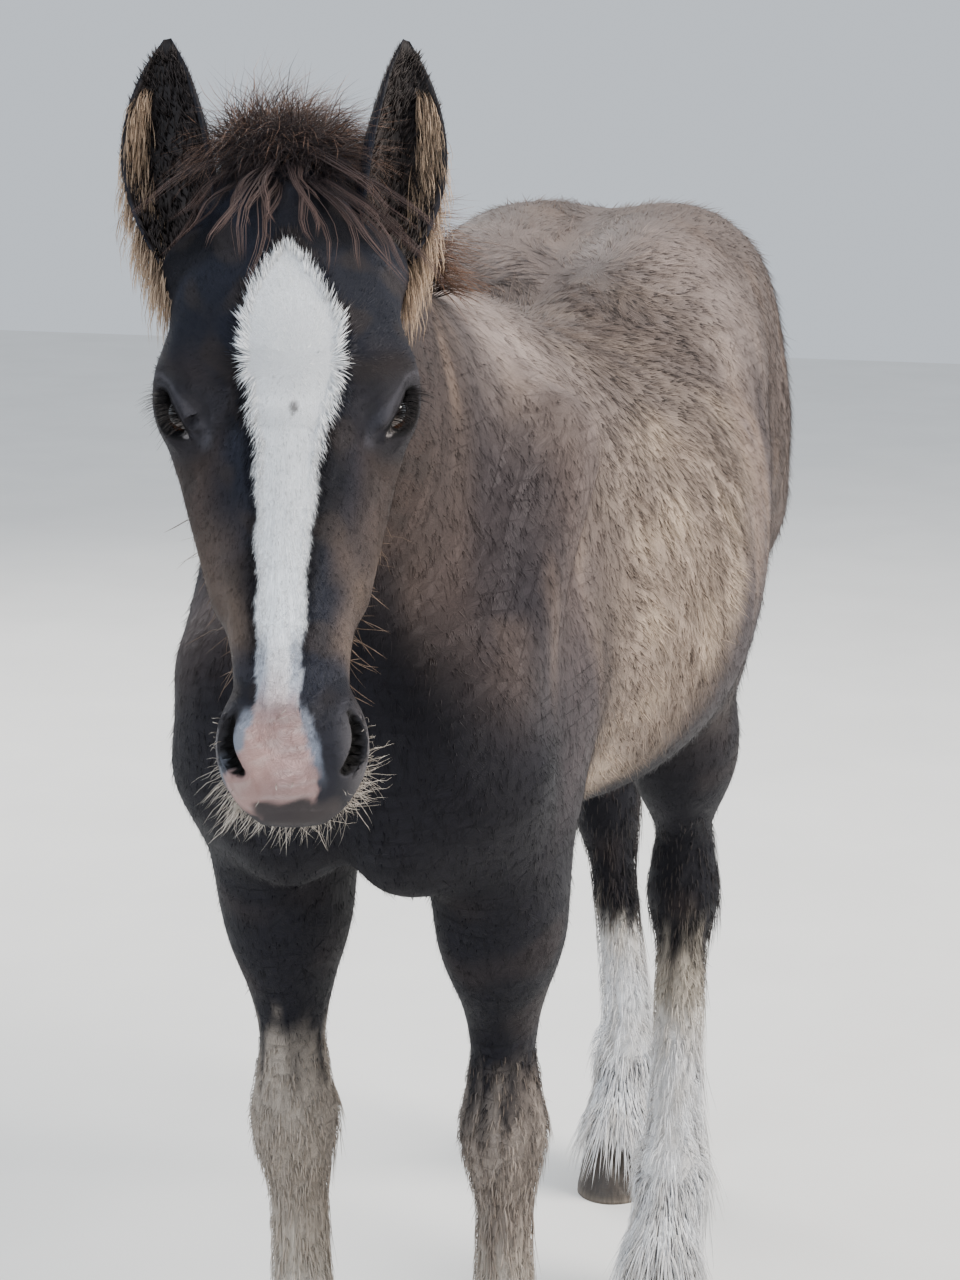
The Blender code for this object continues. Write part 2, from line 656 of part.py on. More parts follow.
def tail_locks(field):
    dock, bend, middle, tip = tail_joints()
    clear = body_field(("hind left", "hind right"))
    clear.forms += field.forms
    locks = Locks(15)
    levels = ((dock.lerp(bend, 0.7), 4, 0.20), (bend.lerp(middle, 0.3), 6, 0.20), (middle, 7, 0.22))
    for heart, count, length in levels:
        whole = math.pi if count < 5 else 2 * math.pi
        for i in range(count):
            turn = whole * ((i + 0.5) / count - 0.5)
            way = Vector((math.sin(turn), math.cos(turn), 0))
            root = skin_point(field, heart, way)
            locks.add(root, tip - middle, length, 0.040)
    return locks.combed(clear, 0.05, 0.20, 4, 0.006, 0.014)


# Meshes


def mesh_object(name, points, faces):
    mesh = bpy.data.meshes.new(name)
    mesh.from_pydata([tuple(p) for p in points], [], [tuple(f) for f in faces])
    obj = bpy.data.objects.new(name, mesh)
    bpy.context.scene.collection.objects.link(obj)
    return obj


def apply_modifiers(obj):
    graph = bpy.context.evaluated_depsgraph_get()
    mesh = bpy.data.meshes.new_from_object(obj.evaluated_get(graph))
    obj.modifiers.clear()
    obj.data = mesh


def reduce(obj, triangles):
    modifier = obj.modifiers.new("reduce", "DECIMATE")
    modifier.ratio = triangles / len(obj.data.polygons)
    apply_modifiers(obj)


def combine(obj, others, operation):
    """A Boolean with the others, which are then removed."""
    group = bpy.data.collections.new("operands")
    bpy.context.scene.collection.children.link(group)
    for other in others:
        bpy.context.scene.collection.objects.unlink(other)
        group.objects.link(other)
    modifier = obj.modifiers.new(operation, "BOOLEAN")
    modifier.operation = operation
    modifier.operand_type = "COLLECTION"
    modifier.collection = group
    modifier.solver = "EXACT"
    apply_modifiers(obj)
    for other in others:
        bpy.data.objects.remove(other)
    bpy.data.collections.remove(group)


def edited(work):
    """Makes a function of a bmesh into a function of an object."""

    def run(obj, *args):
        shape = bmesh.new()
        shape.from_mesh(obj.data)
        work(shape, *args)
        shape.to_mesh(obj.data)
        shape.free()

    return run


@edited
def keep_largest(shape):
    """Removes all but the largest closed surface, and makes the rest triangles.

    Surfaces that only meet in an edge or a corner count as separate.
    """
    left, parts = set(shape.faces), []
    while left:
        part, front = set(), [left.pop()]
        while front:
            face = front.pop()
            part.add(face)
            for edge in face.edges:
                if len(edge.link_faces) != 2:
                    continue
                for other in edge.link_faces:
                    if other in left:
                        left.remove(other)
                        front.append(other)
        parts.append(part)
    parts.sort(key=len)
    for part in parts[:-1]:
        bmesh.ops.delete(shape, geom=list(part), context="FACES")
    loose = [vert for vert in shape.verts if not vert.link_faces]
    bmesh.ops.delete(shape, geom=loose, context="VERTS")
    bmesh.ops.triangulate(shape, faces=shape.faces)


@edited
def face_out(shape):
    bmesh.ops.recalc_face_normals(shape, faces=shape.faces)


def lofted(name, rings):
    """A closed solid through rings of points, with its ends filled flat."""
    count = len(rings[0])
    points = [p for ring in rings for p in ring]
    faces = [list(range(count)), [len(points) - 1 - i for i in range(count)]]
    for level in range(len(rings) - 1):
        for i in range(count):
            a, b = level * count + i, level * count + (i + 1) % count
            faces.append([a, b, b + count, a + count])
    obj = mesh_object(name, points, faces)
    face_out(obj)
    return obj


def ball(name, centre, radii, axes, segments=16):
    """An ellipsoid with that many segments round its last axis."""
    turn = Matrix(axes).transposed()
    rings = segments // 2
    points = [Vector((0, 0, -1))]
    for ring in range(1, rings):
        tilt = math.pi * ring / rings
        for segment in range(segments):
            angle = 2 * math.pi * segment / segments
            flat = math.sin(tilt)
            points.append(
                Vector((flat * math.cos(angle), flat * math.sin(angle), -math.cos(tilt)))
            )
    points.append(Vector((0, 0, 1)))
    placed = [Vector(centre) + turn @ Vector(r * c for r, c in zip(radii, p)) for p in points]
    last = len(points) - 1
    faces = []
    for i in range(segments):
        j = (i + 1) % segments
        faces.append([0, 1 + j, 1 + i])
        faces.append([last, last - segments + i, last - segments + j])
        for ring in range(rings - 2):
            a, b = 1 + ring * segments + i, 1 + ring * segments + j
            faces.append([a, b, b + segments, a + segments])
    obj = mesh_object(name, placed, faces)
    face_out(obj)
    return obj


def past(cut):
    """A block that fills what lies past a cut, less half the gap."""
    point, away = Vector(cut[0]), Vector(cut[1]).normalized()
    side = away.orthogonal().normalized()
    over = away.cross(side)
    rings = []
    for depth in (-GAP / 2, 3.0):
        middle = point + away * depth
        corners = ((1, 1), (-1, 1), (-1, -1), (1, -1))
        rings.append([middle + (side * a + over * b) * 3.0 for a, b in corners])
    return lofted("past", rings)


# Where nodes part from each other, as a point and the direction of the first-named node's far side


NAPE, THROAT = on_head(0, -0.298, 0), on_head(0.36, -0.46, 0)
HEAD_CUT = (NAPE, ACROSS.cross(THROAT - NAPE))
NECK_CUT = (Vector((0, -0.33, WITHERS + 0.01)), Vector((0, 0.837, -0.547)))
CHEST_CUT = (Vector((0, -0.16, 0)), BACKWARD)
BARREL_CUT = (Vector((0, 0.08, 0.65)), Vector((0, 0.984, -0.177)))
FORELEG_CUT = (Vector((0, 0, 0.612)), UP)
HIND_LEG_CUT = (Vector((0, 0.12, 0.605)), Vector((0, -0.342, 0.94)))
KNEE_CUT = (Vector((0, 0, KNEE_HEIGHT - 0.062)), -UP)
HOCK_CUT = (Vector((0, 0, HOCK_HEIGHT - 0.075)), -UP)


def other_side(cut):
    point, away = cut
    return point, -away


def flesh(name, field, low, high, step, triangles, cuts, locks=()):
    """A node of about so many triangles, meshed in a box, joined to its locks and cut off flat."""
    points, faces = meshed(field, low, high, step)
    middles = points[faces].mean(1)
    kept = np.ones(len(faces), bool)
    for point, away in cuts:
        kept &= (middles - np.array(point)) @ np.array(away) < 0
    obj = mesh_object(name, points, faces)
    reduce(obj, triangles * len(faces) / kept.sum())
    if locks:
        combine(obj, locks, "UNION")
        keep_largest(obj)
    if cuts:
        combine(obj, [past(cut) for cut in cuts], "DIFFERENCE")
    keep_largest(obj)
    return obj


def make_head():
    field = Field()
    neck_forms(field)
    head_forms(field)
    mane_form(field)
    forelock_form(field)
    clear = Field()
    clear.forms += field.forms
    for side in (1, -1):
        root, up, _, _ = ear_frame(side)
        clear.limb(root, root + up * EAR_LENGTH, 0.030, 0.008, melt=0.005)
    locks = mane_locks(clear) + forelock_locks(clear) + beard_locks(field)
    low = np.array(on_head(0.45, -0.2, 0)) - 0.36
    high = np.array(on_head(0.45, -0.2, 0)) + 0.36
    head = flesh("head", field, low, high, 0.0065, 1150, [HEAD_CUT], locks)
    cutters = []
    for side in (1, -1):
        slit, over, look = eye_axes(side)
        centre = eye_centre(side)
        cutters.append(ball("socket", centre, [EYE_RADIUS + GAP] * 3, (slit, over, look)))
        opening = centre + look * EYE_RADIUS
        cutters.append(ball("lids", opening, (0.0170, 0.0098, 0.013), (slit, over, look), 12))
        cutters.append(nostril(side))
    cutters.append(mouth())
    combine(head, cutters, "DIFFERENCE")
    keep_largest(head)
    return head


def nostril(side):
    """The pit of a nostril, a slanting oval on the wing of the muzzle."""
    centre = on_head(0.885, -0.062, side * 0.090)
    long = (ALONG * 0.85 + OUT * 0.40 - ACROSS * side * 0.30).normalized()
    deep = (ACROSS * side * 0.75 + OUT * 0.60).normalized()
    deep = (deep - long * deep.dot(long)).normalized()
    return ball("nostril", centre, (0.018, 0.0085, 0.013), (long, deep.cross(long), deep), 10)


def mouth():
    """A thin wedge along the line of the mouth, from one corner round to the other."""
    rings = []
    for t in np.linspace(-1, 1, 13):
        place = on_head(0.985 - 0.125 * t * t, -0.163 - 0.014 * t * t, 0.085 * t)
        inward = on_head(0.90, -0.168, 0) - place
        inward = inward.normalized() * 0.012
        thin = OUT * 0.0022 * (1 - 0.6 * t * t)
        outer, inner = place - inward * 0.6, place + inward
        rings.append([outer + thin, outer - thin, inner - thin * 0.4, inner + thin * 0.4])
    return lofted("mouth", rings)


def make_eye(side_name):
    side = SIDES[side_name]
    return ball(f"eye_{side_name}", eye_centre(side), [EYE_RADIUS] * 3, eye_axes(side))


EAR_SHARES = (0, 0.10, 0.22, 0.36, 0.52, 0.68, 0.82, 0.93, 1)


def make_ear(side_name):
    side = SIDES[side_name]
    root, up, across, opening = ear_frame(side)
    shell = 0.0055
    rings = []
    for share in EAR_SHARES:
        width = smooth_curve((0, 0.2, 0.45, 0.7, 0.88, 1), (46, 58, 66, 52, 28, 5), share) / 2000
        depth = smooth_curve((0, 0.3, 0.6, 1), (24, 27, 20, 3), share) / 1000
        bow = 0.012 * 4 * share * (1 - share)
        centre = root + up * (EAR_LENGTH * share) + ACROSS * side * bow
        hollow = float(np.clip((share - 0.05) / 0.25, 0, 1)) * (0.2 if share > 0.95 else 1)
        wall = min(shell, width * 0.35)
        ring = []
        for angle in np.radians(np.linspace(-112, 112, 9)):
            ring.append(
                centre + across * width * math.sin(angle) - opening * depth * math.cos(angle)
            )
        for angle in np.radians(np.linspace(98, -98, 7)):
            aside = across * (width - wall) * math.sin(angle)
            cup = -(depth - wall) * math.cos(angle)
            flat = depth * 0.25
            ring.append(centre + aside + opening * (cup * hollow + flat * (1 - hollow)))
        rings.append(ring)
    return lofted(f"ear_{side_name}", rings)


def seat(obj, host, shift):
    """Cuts the host's shape out of the object, then moves it off the host by the gap."""
    copy = mesh_object("host", [], [])
    copy.data = host.data.copy()
    combine(obj, [copy], "DIFFERENCE")
    keep_largest(obj)
    obj.data.transform(Matrix.Translation(Vector(shift).normalized() * GAP * 1.5))


CORONET_TILT = 0.32


def coronet_height(y, centre):
    return CORONET_HEIGHT - CORONET_TILT * (y - centre)


def make_hoof(name, foot, grow=0.0):
    """A hoof on its flat sole. Its top slants down towards the heel."""
    x, y = foot
    ahead = 0.020
    rings = []
    for share, narrow in ((0, 0.0015), (0.07, 0), (0.55, 0), (1, 0)):
        ring = []
        for angle in np.linspace(0, 2 * math.pi, 20, endpoint=False):
            s, c = math.sin(angle), math.cos(angle)
            heel = max(c, 0)
            reach_x = HOOF_WIDTH / 2 - narrow + grow
            reach_y = HOOF_LENGTH / 2 - narrow + grow
            sole = Vector((x + reach_x * s * (1 - 0.14 * heel), y + reach_y * c * (1 - 0.12 * heel), 0))
            top_y = y + ahead + (0.0385 + grow) * c
            top_z = coronet_height(top_y, y + ahead) + grow
            top = Vector((x + (0.0365 + grow) * s, top_y, top_z))
            ring.append(sole.lerp(top, share))
        rings.append(ring)
    if grow:
        rings[0] = [p - UP * 0.05 for p in rings[0]]
    hoof = lofted(name, rings)
    keep_largest(hoof)
    return hoof


def make_leg(pair, side_name):
    """The upper part, the lower part with its feather, and the hoof."""
    field = body_field([f"{pair} {side_name}"])
    foot = (FORE_FEET if pair == "fore" else HIND_FEET)[side_name]
    if pair == "fore":
        top, joint, fetlock, coronet = fore_joints(side_name)
        upper_cut, lower_cut = FORELEG_CUT, KNEE_CUT
        upper_name, lower_name = f"forearm_{side_name}", f"foreleg_{side_name}"
    else:
        _, top, joint, fetlock, coronet = hind_joints(side_name)
        upper_cut, lower_cut = HIND_LEG_CUT, HOCK_CUT
        upper_name, lower_name = f"gaskin_{side_name}", f"hind_leg_{side_name}"
    rear = max(top.y, joint.y) + 0.16
    front = min(top.y, joint.y) - 0.13
    inner, outer = sorted((top.x - SIDES[side_name] * 0.11, top.x + SIDES[side_name] * 0.10))
    low, high = (inner, front, lower_cut[0].z - 0.03), (outer, rear, 0.84)
    behind = [CHEST_CUT] if pair == "fore" else [other_side(BARREL_CUT)]
    upper_cuts = [upper_cut, lower_cut] + behind
    upper = flesh(upper_name, field, low, high, 0.012, 200, upper_cuts)
    feather_form(field, joint, fetlock, coronet)
    low = (foot[0] - 0.10, foot[1] - 0.10, 0.014)
    high = (foot[0] + 0.10, max(joint.y, fetlock.y) + 0.12, lower_cut[0].z + 0.03)
    locks = feather_locks(field, foot, joint, fetlock, coronet)
    lower = flesh(lower_name, field, low, high, 0.008, 210, [other_side(lower_cut)], locks)
    hoof = make_hoof(f"{pair}_hoof_{side_name}", foot)
    combine(lower, [make_hoof("room", foot, 2 * GAP)], "DIFFERENCE")
    keep_largest(lower)
    return upper, lower, hoof


def make_tail(hindquarters):
    field = Field()
    tail_form(field)
    low = (-0.12, BUTTOCK - 0.12, CROUP - 0.16 - TAIL_LENGTH)
    high = (0.12, BUTTOCK + 0.20, CROUP - 0.02)
    tail = flesh("tail", field, low, high, 0.012, 200, [], tail_locks(field))
    seat(tail, hindquarters, (0, 0.9, 0.3))
    return tail


def make_foal():
    parts = {"coat": [], "hair": [], "white": [], "hoof": [], "eye": []}
    body = body_field()
    maned = foal_field()
    mane_form(maned)
    reach = 0.30
    neck = flesh(
        "neck",
        maned,
        (-reach, -0.78, 0.78),
        (reach, -0.14, 1.36),
        0.014,
        240,
        [NECK_CUT, other_side(HEAD_CUT)],
        mane_locks(maned),
    )
    cuts = [other_side(NECK_CUT), CHEST_CUT, other_side(FORELEG_CUT)]
    chest = flesh("chest", body, (-reach, -0.60, 0.57), (reach, -0.10, 1.20), 0.016, 440, cuts)
    cuts = [other_side(CHEST_CUT), BARREL_CUT]
    barrel = flesh("barrel", body, (-reach, -0.20, 0.55), (reach, 0.24, 1.24), 0.018, 480, cuts)
    cuts = [other_side(BARREL_CUT), other_side(HIND_LEG_CUT)]
    hindquarters = flesh(
        "hindquarters", body, (-reach, 0.02, 0.55), (reach, 0.72, 1.26), 0.016, 640, cuts
    )
    tail = make_tail(hindquarters)
    head = make_head()
    ears = [make_ear(side_name) for side_name in SIDES]
    for ear, side in zip(ears, SIDES.values()):
        seat(ear, head, ear_frame(side)[1] + ACROSS * side * 0.4)
    parts["coat"] += [neck, chest, barrel, hindquarters, head, *ears]
    parts["hair"].append(tail)
    for side_name in SIDES:
        parts["eye"].append(make_eye(side_name))
        for pair in ("fore", "hind"):
            upper, lower, hoof = make_leg(pair, side_name)
            parts["coat"].append(upper)
            parts["white"].append(lower)
            parts["hoof"].append(hoof)
    return parts


COLOURS = {
    "coat": ((0.060, 0.042, 0.032), 0.75),
    "hair": ((0.045, 0.022, 0.014), 0.70),
    "white": ((0.72, 0.66, 0.56), 0.80),
    "hoof": ((0.075, 0.062, 0.052), 0.50),
    "eye": ((0.012, 0.007, 0.005), 0.08),
}


def colour(obj, slot):
    material = bpy.data.materials.new(f"{obj.name}_{slot}")
    material.use_nodes = True
    shader = material.node_tree.nodes["Principled BSDF"]
    tint, rough = COLOURS[slot]
    shader.inputs["Base Color"].default_value = (*tint, 1)
    shader.inputs["Roughness"].default_value = rough
    shader.inputs["Metallic"].default_value = 0
    obj.data.materials.clear()
    obj.data.materials.append(material)


def centre_on_floor(objects):
    """Moves them so that the box round them all stands on the origin."""
    corners = np.array([v.co for obj in objects for v in obj.data.vertices])
    low, high = corners.min(0), corners.max(0)
    shift = Vector((-(low[0] + high[0]) / 2, -(low[1] + high[1]) / 2, -low[2]))
    for obj in objects:
        obj.data.transform(Matrix.Translation(shift))


def main():
    for obj in list(bpy.data.objects):
        bpy.data.objects.remove(obj)
    parts = make_foal()
    for slot, objects in parts.items():
        for obj in objects:
            face_out(obj)
            keep_largest(obj)
            colour(obj, slot)
    centre_on_floor([obj for objects in parts.values() for obj in objects])


if __name__ == "__main__":
    main()
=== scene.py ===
"""The looks of a weanling Irish Cob foal: one skin over all the flesh, the coat on it, eyes and hooves.

The foal's forms repeat those of the solids, in the foal's own frame: it faces -Y, its left side is +X
and +Z is up. SHIFT moves all of it to where the frame has it. Lengths are metres.
"""

import json
import math

import bpy
import numpy as np
from mathutils import Matrix, Vector
from mathutils.kdtree import KDTree

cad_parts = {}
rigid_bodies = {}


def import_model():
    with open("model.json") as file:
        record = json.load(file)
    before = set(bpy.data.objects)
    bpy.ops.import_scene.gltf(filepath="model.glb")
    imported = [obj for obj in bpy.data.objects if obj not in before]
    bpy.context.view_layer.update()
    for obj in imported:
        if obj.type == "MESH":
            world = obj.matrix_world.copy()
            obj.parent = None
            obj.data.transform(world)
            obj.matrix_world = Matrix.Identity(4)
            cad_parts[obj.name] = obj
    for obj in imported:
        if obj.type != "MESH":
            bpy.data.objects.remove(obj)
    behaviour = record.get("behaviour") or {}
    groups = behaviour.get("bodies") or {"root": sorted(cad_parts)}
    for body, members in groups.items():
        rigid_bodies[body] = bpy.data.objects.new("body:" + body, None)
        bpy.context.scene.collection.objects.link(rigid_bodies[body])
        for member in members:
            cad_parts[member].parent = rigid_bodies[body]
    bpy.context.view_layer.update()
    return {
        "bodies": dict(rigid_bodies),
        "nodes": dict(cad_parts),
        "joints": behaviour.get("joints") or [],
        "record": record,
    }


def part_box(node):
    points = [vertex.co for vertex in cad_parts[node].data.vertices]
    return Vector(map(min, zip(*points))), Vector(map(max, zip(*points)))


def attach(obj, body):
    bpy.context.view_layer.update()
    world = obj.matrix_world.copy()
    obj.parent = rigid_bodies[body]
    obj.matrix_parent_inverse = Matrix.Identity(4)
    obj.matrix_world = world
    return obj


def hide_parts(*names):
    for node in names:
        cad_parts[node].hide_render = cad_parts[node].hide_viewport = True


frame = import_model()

# Driving dimensions of the foal
WITHERS = 1.12
CROUP = 1.185
BACK = 1.085
BELLY = 0.60
CHEST_FLOOR = 0.635
BARREL_WIDTH = 0.46
HIP_WIDTH = 0.385
CHEST_WIDTH = 0.33
CHEST_FRONT = -0.50
BUTTOCK = 0.60
HEAD_LENGTH = 0.485
EAR_LENGTH = 0.185
EYE_RADIUS = 0.0185
KNEE_HEIGHT = 0.395
FETLOCK_HEIGHT = 0.155
CORONET_HEIGHT = 0.057
CORONET_TILT = 0.32
HOCK_HEIGHT = 0.455
HOOF_WIDTH = 0.086
HOOF_LENGTH = 0.098
TAIL_LENGTH = 0.46

# Pose
POLL = Vector((0.0292, -0.6415, 1.262))
HEAD_YAW = math.radians(21.5)
FACE_SLOPE = math.radians(25)
FORE_FEET = {"left": (0.088, -0.360), "right": (-0.094, -0.390)}
HIND_FEET = {"left": (0.115, 0.175), "right": (-0.022, 0.515)}

# The camera that took the photo
CAMERA_PLACE = Vector((0.7965, -2.607, 1.36))
CAMERA_TURN = math.radians(17.5)
CAMERA_DIP = math.radians(12.16)
CAMERA_LENS = 81.56

SIDES = {"left": 1, "right": -1}
FAR = 0.10  # a form is worked out this far outside the ball that holds it
CELL = 0.10  # points are worked out together in blocks of about this size
UP = Vector((0, 0, 1))
BACKWARD = Vector((0, 1, 0))
SKIN_STEP = 0.013
SKIN_FLOOR = 0.030  # the skin ends inside the hooves
SLOPE_STEP = 0.002  # how far apart the field is read for its direction
SETTLE_STEP = 0.0008
SETTLE_MOST = 0.004  # the furthest that a point moves at a time
WAVE_COUNT = 7
WAVE_GAIN = 3.2


# Small tools for arrays of points


def unit(vectors):
    size = np.linalg.norm(vectors, axis=-1, keepdims=True)
    return vectors / np.maximum(size, 1e-9)


def ramp(low, high, value):
    """A smooth step from 0 at low to 1 at high."""
    t = np.clip((value - low) / (high - low), 0, 1)
    return t * t * (3 - 2 * t)


def mixed(a, b, share):
    share = np.asarray(share, float)[..., None]
    return np.asarray(a, float) * (1 - share) + np.asarray(b, float) * share


def waves(points, size, seed):
    """Smooth noise from -1 to 1 whose lumps are about that size."""
    random = np.random.default_rng(seed)
    total = np.zeros(len(points))
    for _ in range(WAVE_COUNT):
        way = random.normal(size=3)
        way *= random.uniform(0.7, 1.5) * math.pi / (size * np.linalg.norm(way))
        total += np.sin(points @ way + random.uniform(0, 2 * math.pi))
    return np.clip(total / WAVE_GAIN, -1, 1)


def smooth_curve(keys, values, at):
    """The value at each place on one smooth curve through the keys."""
    keys, values = np.asarray(keys, float), np.asarray(values, float)
    slopes = np.gradient(values, keys)
    at = np.clip(at, keys[0], keys[-1])
    i = np.clip(np.searchsorted(keys, at) - 1, 0, len(keys) - 2)
    span = keys[i + 1] - keys[i]
    t = (at - keys[i]) / span
    return (
        (1 + 2 * t) * (1 - t) ** 2 * values[i]
        + t * (1 - t) ** 2 * span * slopes[i]
        + t * t * (3 - 2 * t) * values[i + 1]
        + t * t * (t - 1) * span * slopes[i + 1]
    )


# Fields: the foal's forms, as in the solids


def melted(a, b, width):
    """The lesser of two distances, with the crease between them filled over that width."""
    near = np.maximum(width - np.abs(a - b), 0) / width
    return np.minimum(a, b) - near * near * width / 4


def carved(a, b, width):
    """Distance a with the inside of b taken away."""
    return -melted(-a, b, width)


class Field:
    """Forms that melt into each other, as a distance that is negative inside."""

    def __init__(self):
        self.forms = []

    def add(self, distance, centre, reach, melt, carve=False):
        self.forms.append((distance, np.array(centre, float), reach, melt, carve))

    def __call__(self, points):
        points = np.asarray(points, float)
        found = np.full(len(points), 2 * FAR)
        cell = np.floor(points / CELL).astype(int) + 64
        key = (cell[:, 0] * 128 + cell[:, 1]) * 128 + cell[:, 2]
        order = np.argsort(key, kind="stable")
        centres = np.array([form[1] for form in self.forms])
        reaches = np.array([form[2] for form in self.forms]) + FAR
        for index in np.split(order, np.flatnonzero(np.diff(key[order])) + 1):
            block = points[index]
            low, high = block.min(0), block.max(0)
            away = centres - np.clip(centres, low, high)
            value = found[index]
            for i in np.flatnonzero((away * away).sum(1) < reaches**2):
                distance, _, _, melt, carve = self.forms[i]
                value = (carved if carve else melted)(value, distance(block), melt)
            found[index] = value
        return found

    def egg(self, centre, radii, axes=None, melt=0.03, carve=False):
        """An ellipsoid, added or carved out. axes are its three directions, or else the world's."""
        centre, radii = np.array(centre, float), np.array(radii, float)
        turn = np.eye(3) if axes is None else np.array(axes, float)

        def distance(p):
            q = (p - centre) @ turn.T
            k = np.sqrt(((q / radii) ** 2).sum(1)) + 1e-9
            return k * (k - 1) / (np.sqrt(((q / radii**2) ** 2).sum(1)) + 1e-9)

        self.add(distance, centre, radii.max(), melt, carve)

    def limb(self, a, b, ra, rb, wide=1.0, side=(1, 0, 0), melt=0.03, carve=False):
        """A rod from a to b that tapers from ra to rb. wide stretches it along side."""
        a, b, side = (np.array(v, float) for v in (a, b, side))
        side /= np.linalg.norm(side)
        line = b - a

        def distance(p):
            t = np.clip(((p - a) @ line) / (line @ line), 0, 1)
            q = p - a - t[:, None] * line
            q = q + np.outer(q @ side, side) * (1 / wide - 1)
            return (np.sqrt((q * q).sum(1)) - (ra + (rb - ra) * t)) * min(1, wide)

        reach = np.linalg.norm(line) / 2 + max(ra, rb) * max(1, wide)
        self.add(distance, (a + b) / 2, reach, melt, carve)

    def limbs(self, points, radii, wide=1.0, side=(1, 0, 0), melt=0.03, carve=False):
        for a, b, ra, rb in zip(points, points[1:], radii, radii[1:]):
            self.limb(a, b, ra, rb, wide, side, melt, carve)

    def loft(self, frame, stations, power, melt=0.03):
        """An oval body along a line. frame is its origin and its directions along, up and across.

        Each station is a place along the line, the oval's upper and lower edge, how high in it the
        oval is widest, as a share, and its half width.
        """
        origin, along, up, across = (np.array(v, float) for v in frame)
        place, top, bottom, share, half = np.array(stations, float).T
        middle_place = (place[0] + place[-1]) / 2
        middle_height = (top.max() + bottom.min()) / 2
        centre = origin + along * middle_place + up * middle_height
        reach = np.linalg.norm([place[-1] - middle_place, top.max() - middle_height, half.max()])

        def distance(p):
            q = p - origin
            t, u, w = q @ along, q @ up, q @ across
            past = t - np.clip(t, place[0], place[-1])
            upper, lower = (smooth_curve(place, v, t) for v in (top, bottom))
            level = lower + (upper - lower) * smooth_curve(place, share, t)
            height = np.where(u > level, upper - level, level - lower)
            width = smooth_curve(place, half, t)
            ring = (
                np.abs((u - level) / height) ** power + np.abs(w / width) ** power
            ) ** (1 / power) + 1e-6
            away = np.hypot(u - level, w) * (1 - 1 / ring)
            return np.where(past == 0, away, np.hypot(np.maximum(away, 0), past))

        self.add(distance, centre, reach, melt)


def slope(field, points):
    """The direction straight out of the flesh at each point, and how fast the field grows there."""
    sides = []
    for way in np.eye(3) * SLOPE_STEP:
        sides.append(field(points + way) - field(points - way))
    found = np.stack(sides, 1) / (2 * SLOPE_STEP)
    return unit(found), np.linalg.norm(found, axis=1)


def surfaced(field, starts, ways, reach=0.35, coarse=28):
    """Where lines from inside the flesh leave it."""
    ways = unit(np.array(ways, float))
    starts = np.broadcast_to(np.array(starts, float), ways.shape)
    near, far = np.zeros(len(ways)), np.full(len(ways), reach)
    left = np.arange(len(ways))
    for step in range(1, coarse + 1):
        at = reach * step / coarse
        outside = field(starts[left] + ways[left] * at) > 0
        far[left[outside]] = at
        near[left[outside]] = at - reach / coarse
        left = left[~outside]
        if not len(left):
            break
    for _ in range(9):
        middle = (near + far) / 2
        outside = field(starts + ways * middle[:, None]) > 0
        far = np.where(outside, middle, far)
        near = np.where(outside, near, middle)
    return starts + ways * far[:, None]


# The head has its own frame: along runs from poll to lips, out leaves the face, across is its left


TURN = Matrix.Rotation(HEAD_YAW, 3, "Z")
ALONG = TURN @ Vector((0, -math.sin(FACE_SLOPE), -math.cos(FACE_SLOPE)))
OUT = TURN @ Vector((0, -math.cos(FACE_SLOPE), math.sin(FACE_SLOPE)))
ACROSS = TURN @ Vector((1, 0, 0))
HEAD_AXES = np.array([ALONG, OUT, ACROSS])
EYE_PLACE = (0.380, -0.064, 0.138)
LID = 0.0035  # how far the lids stand over the eye


def on_head(along, out, across):
    """A point of the head, in head lengths from the poll."""
    return POLL + HEAD_LENGTH * (ALONG * along + OUT * out + ACROSS * across)


def head_place(points):
    """Along, out and across of each point, in head lengths from the poll."""
    return ((points - np.array(POLL)) @ HEAD_AXES.T / HEAD_LENGTH).T


def eye_centre(side):
    along, out, across = EYE_PLACE
    return on_head(along, out, across * side)


def eye_axes(side):
    """Directions along the lids' slit, over it towards the brow, and out of the eye."""
    look = (ACROSS * side * 0.80 + OUT * 0.58 + ALONG * 0.06).normalized()
    slit = (ALONG * 0.90 + OUT * 0.42).normalized()
    slit = (slit - look * slit.dot(look)).normalized()
    over = slit.cross(look) * side
    return slit, over, look


def ear_frame(side):
    """Root, and directions up the ear, across it and out of its opening."""
    root = on_head(0.150, -0.105, side * 0.130)
    up = (-ALONG + ACROSS * side * {1: 0.16, -1: 0.115}[side] + OUT * 0.02).normalized()
    turned = math.radians({1: 30, -1: 12}[side])  # how far the opening looks away from the face
    opening = OUT * math.cos(turned) + ACROSS * side * math.sin(turned)
    opening = (opening - up * opening.dot(up)).normalized()
    return root, up, up.cross(opening), opening


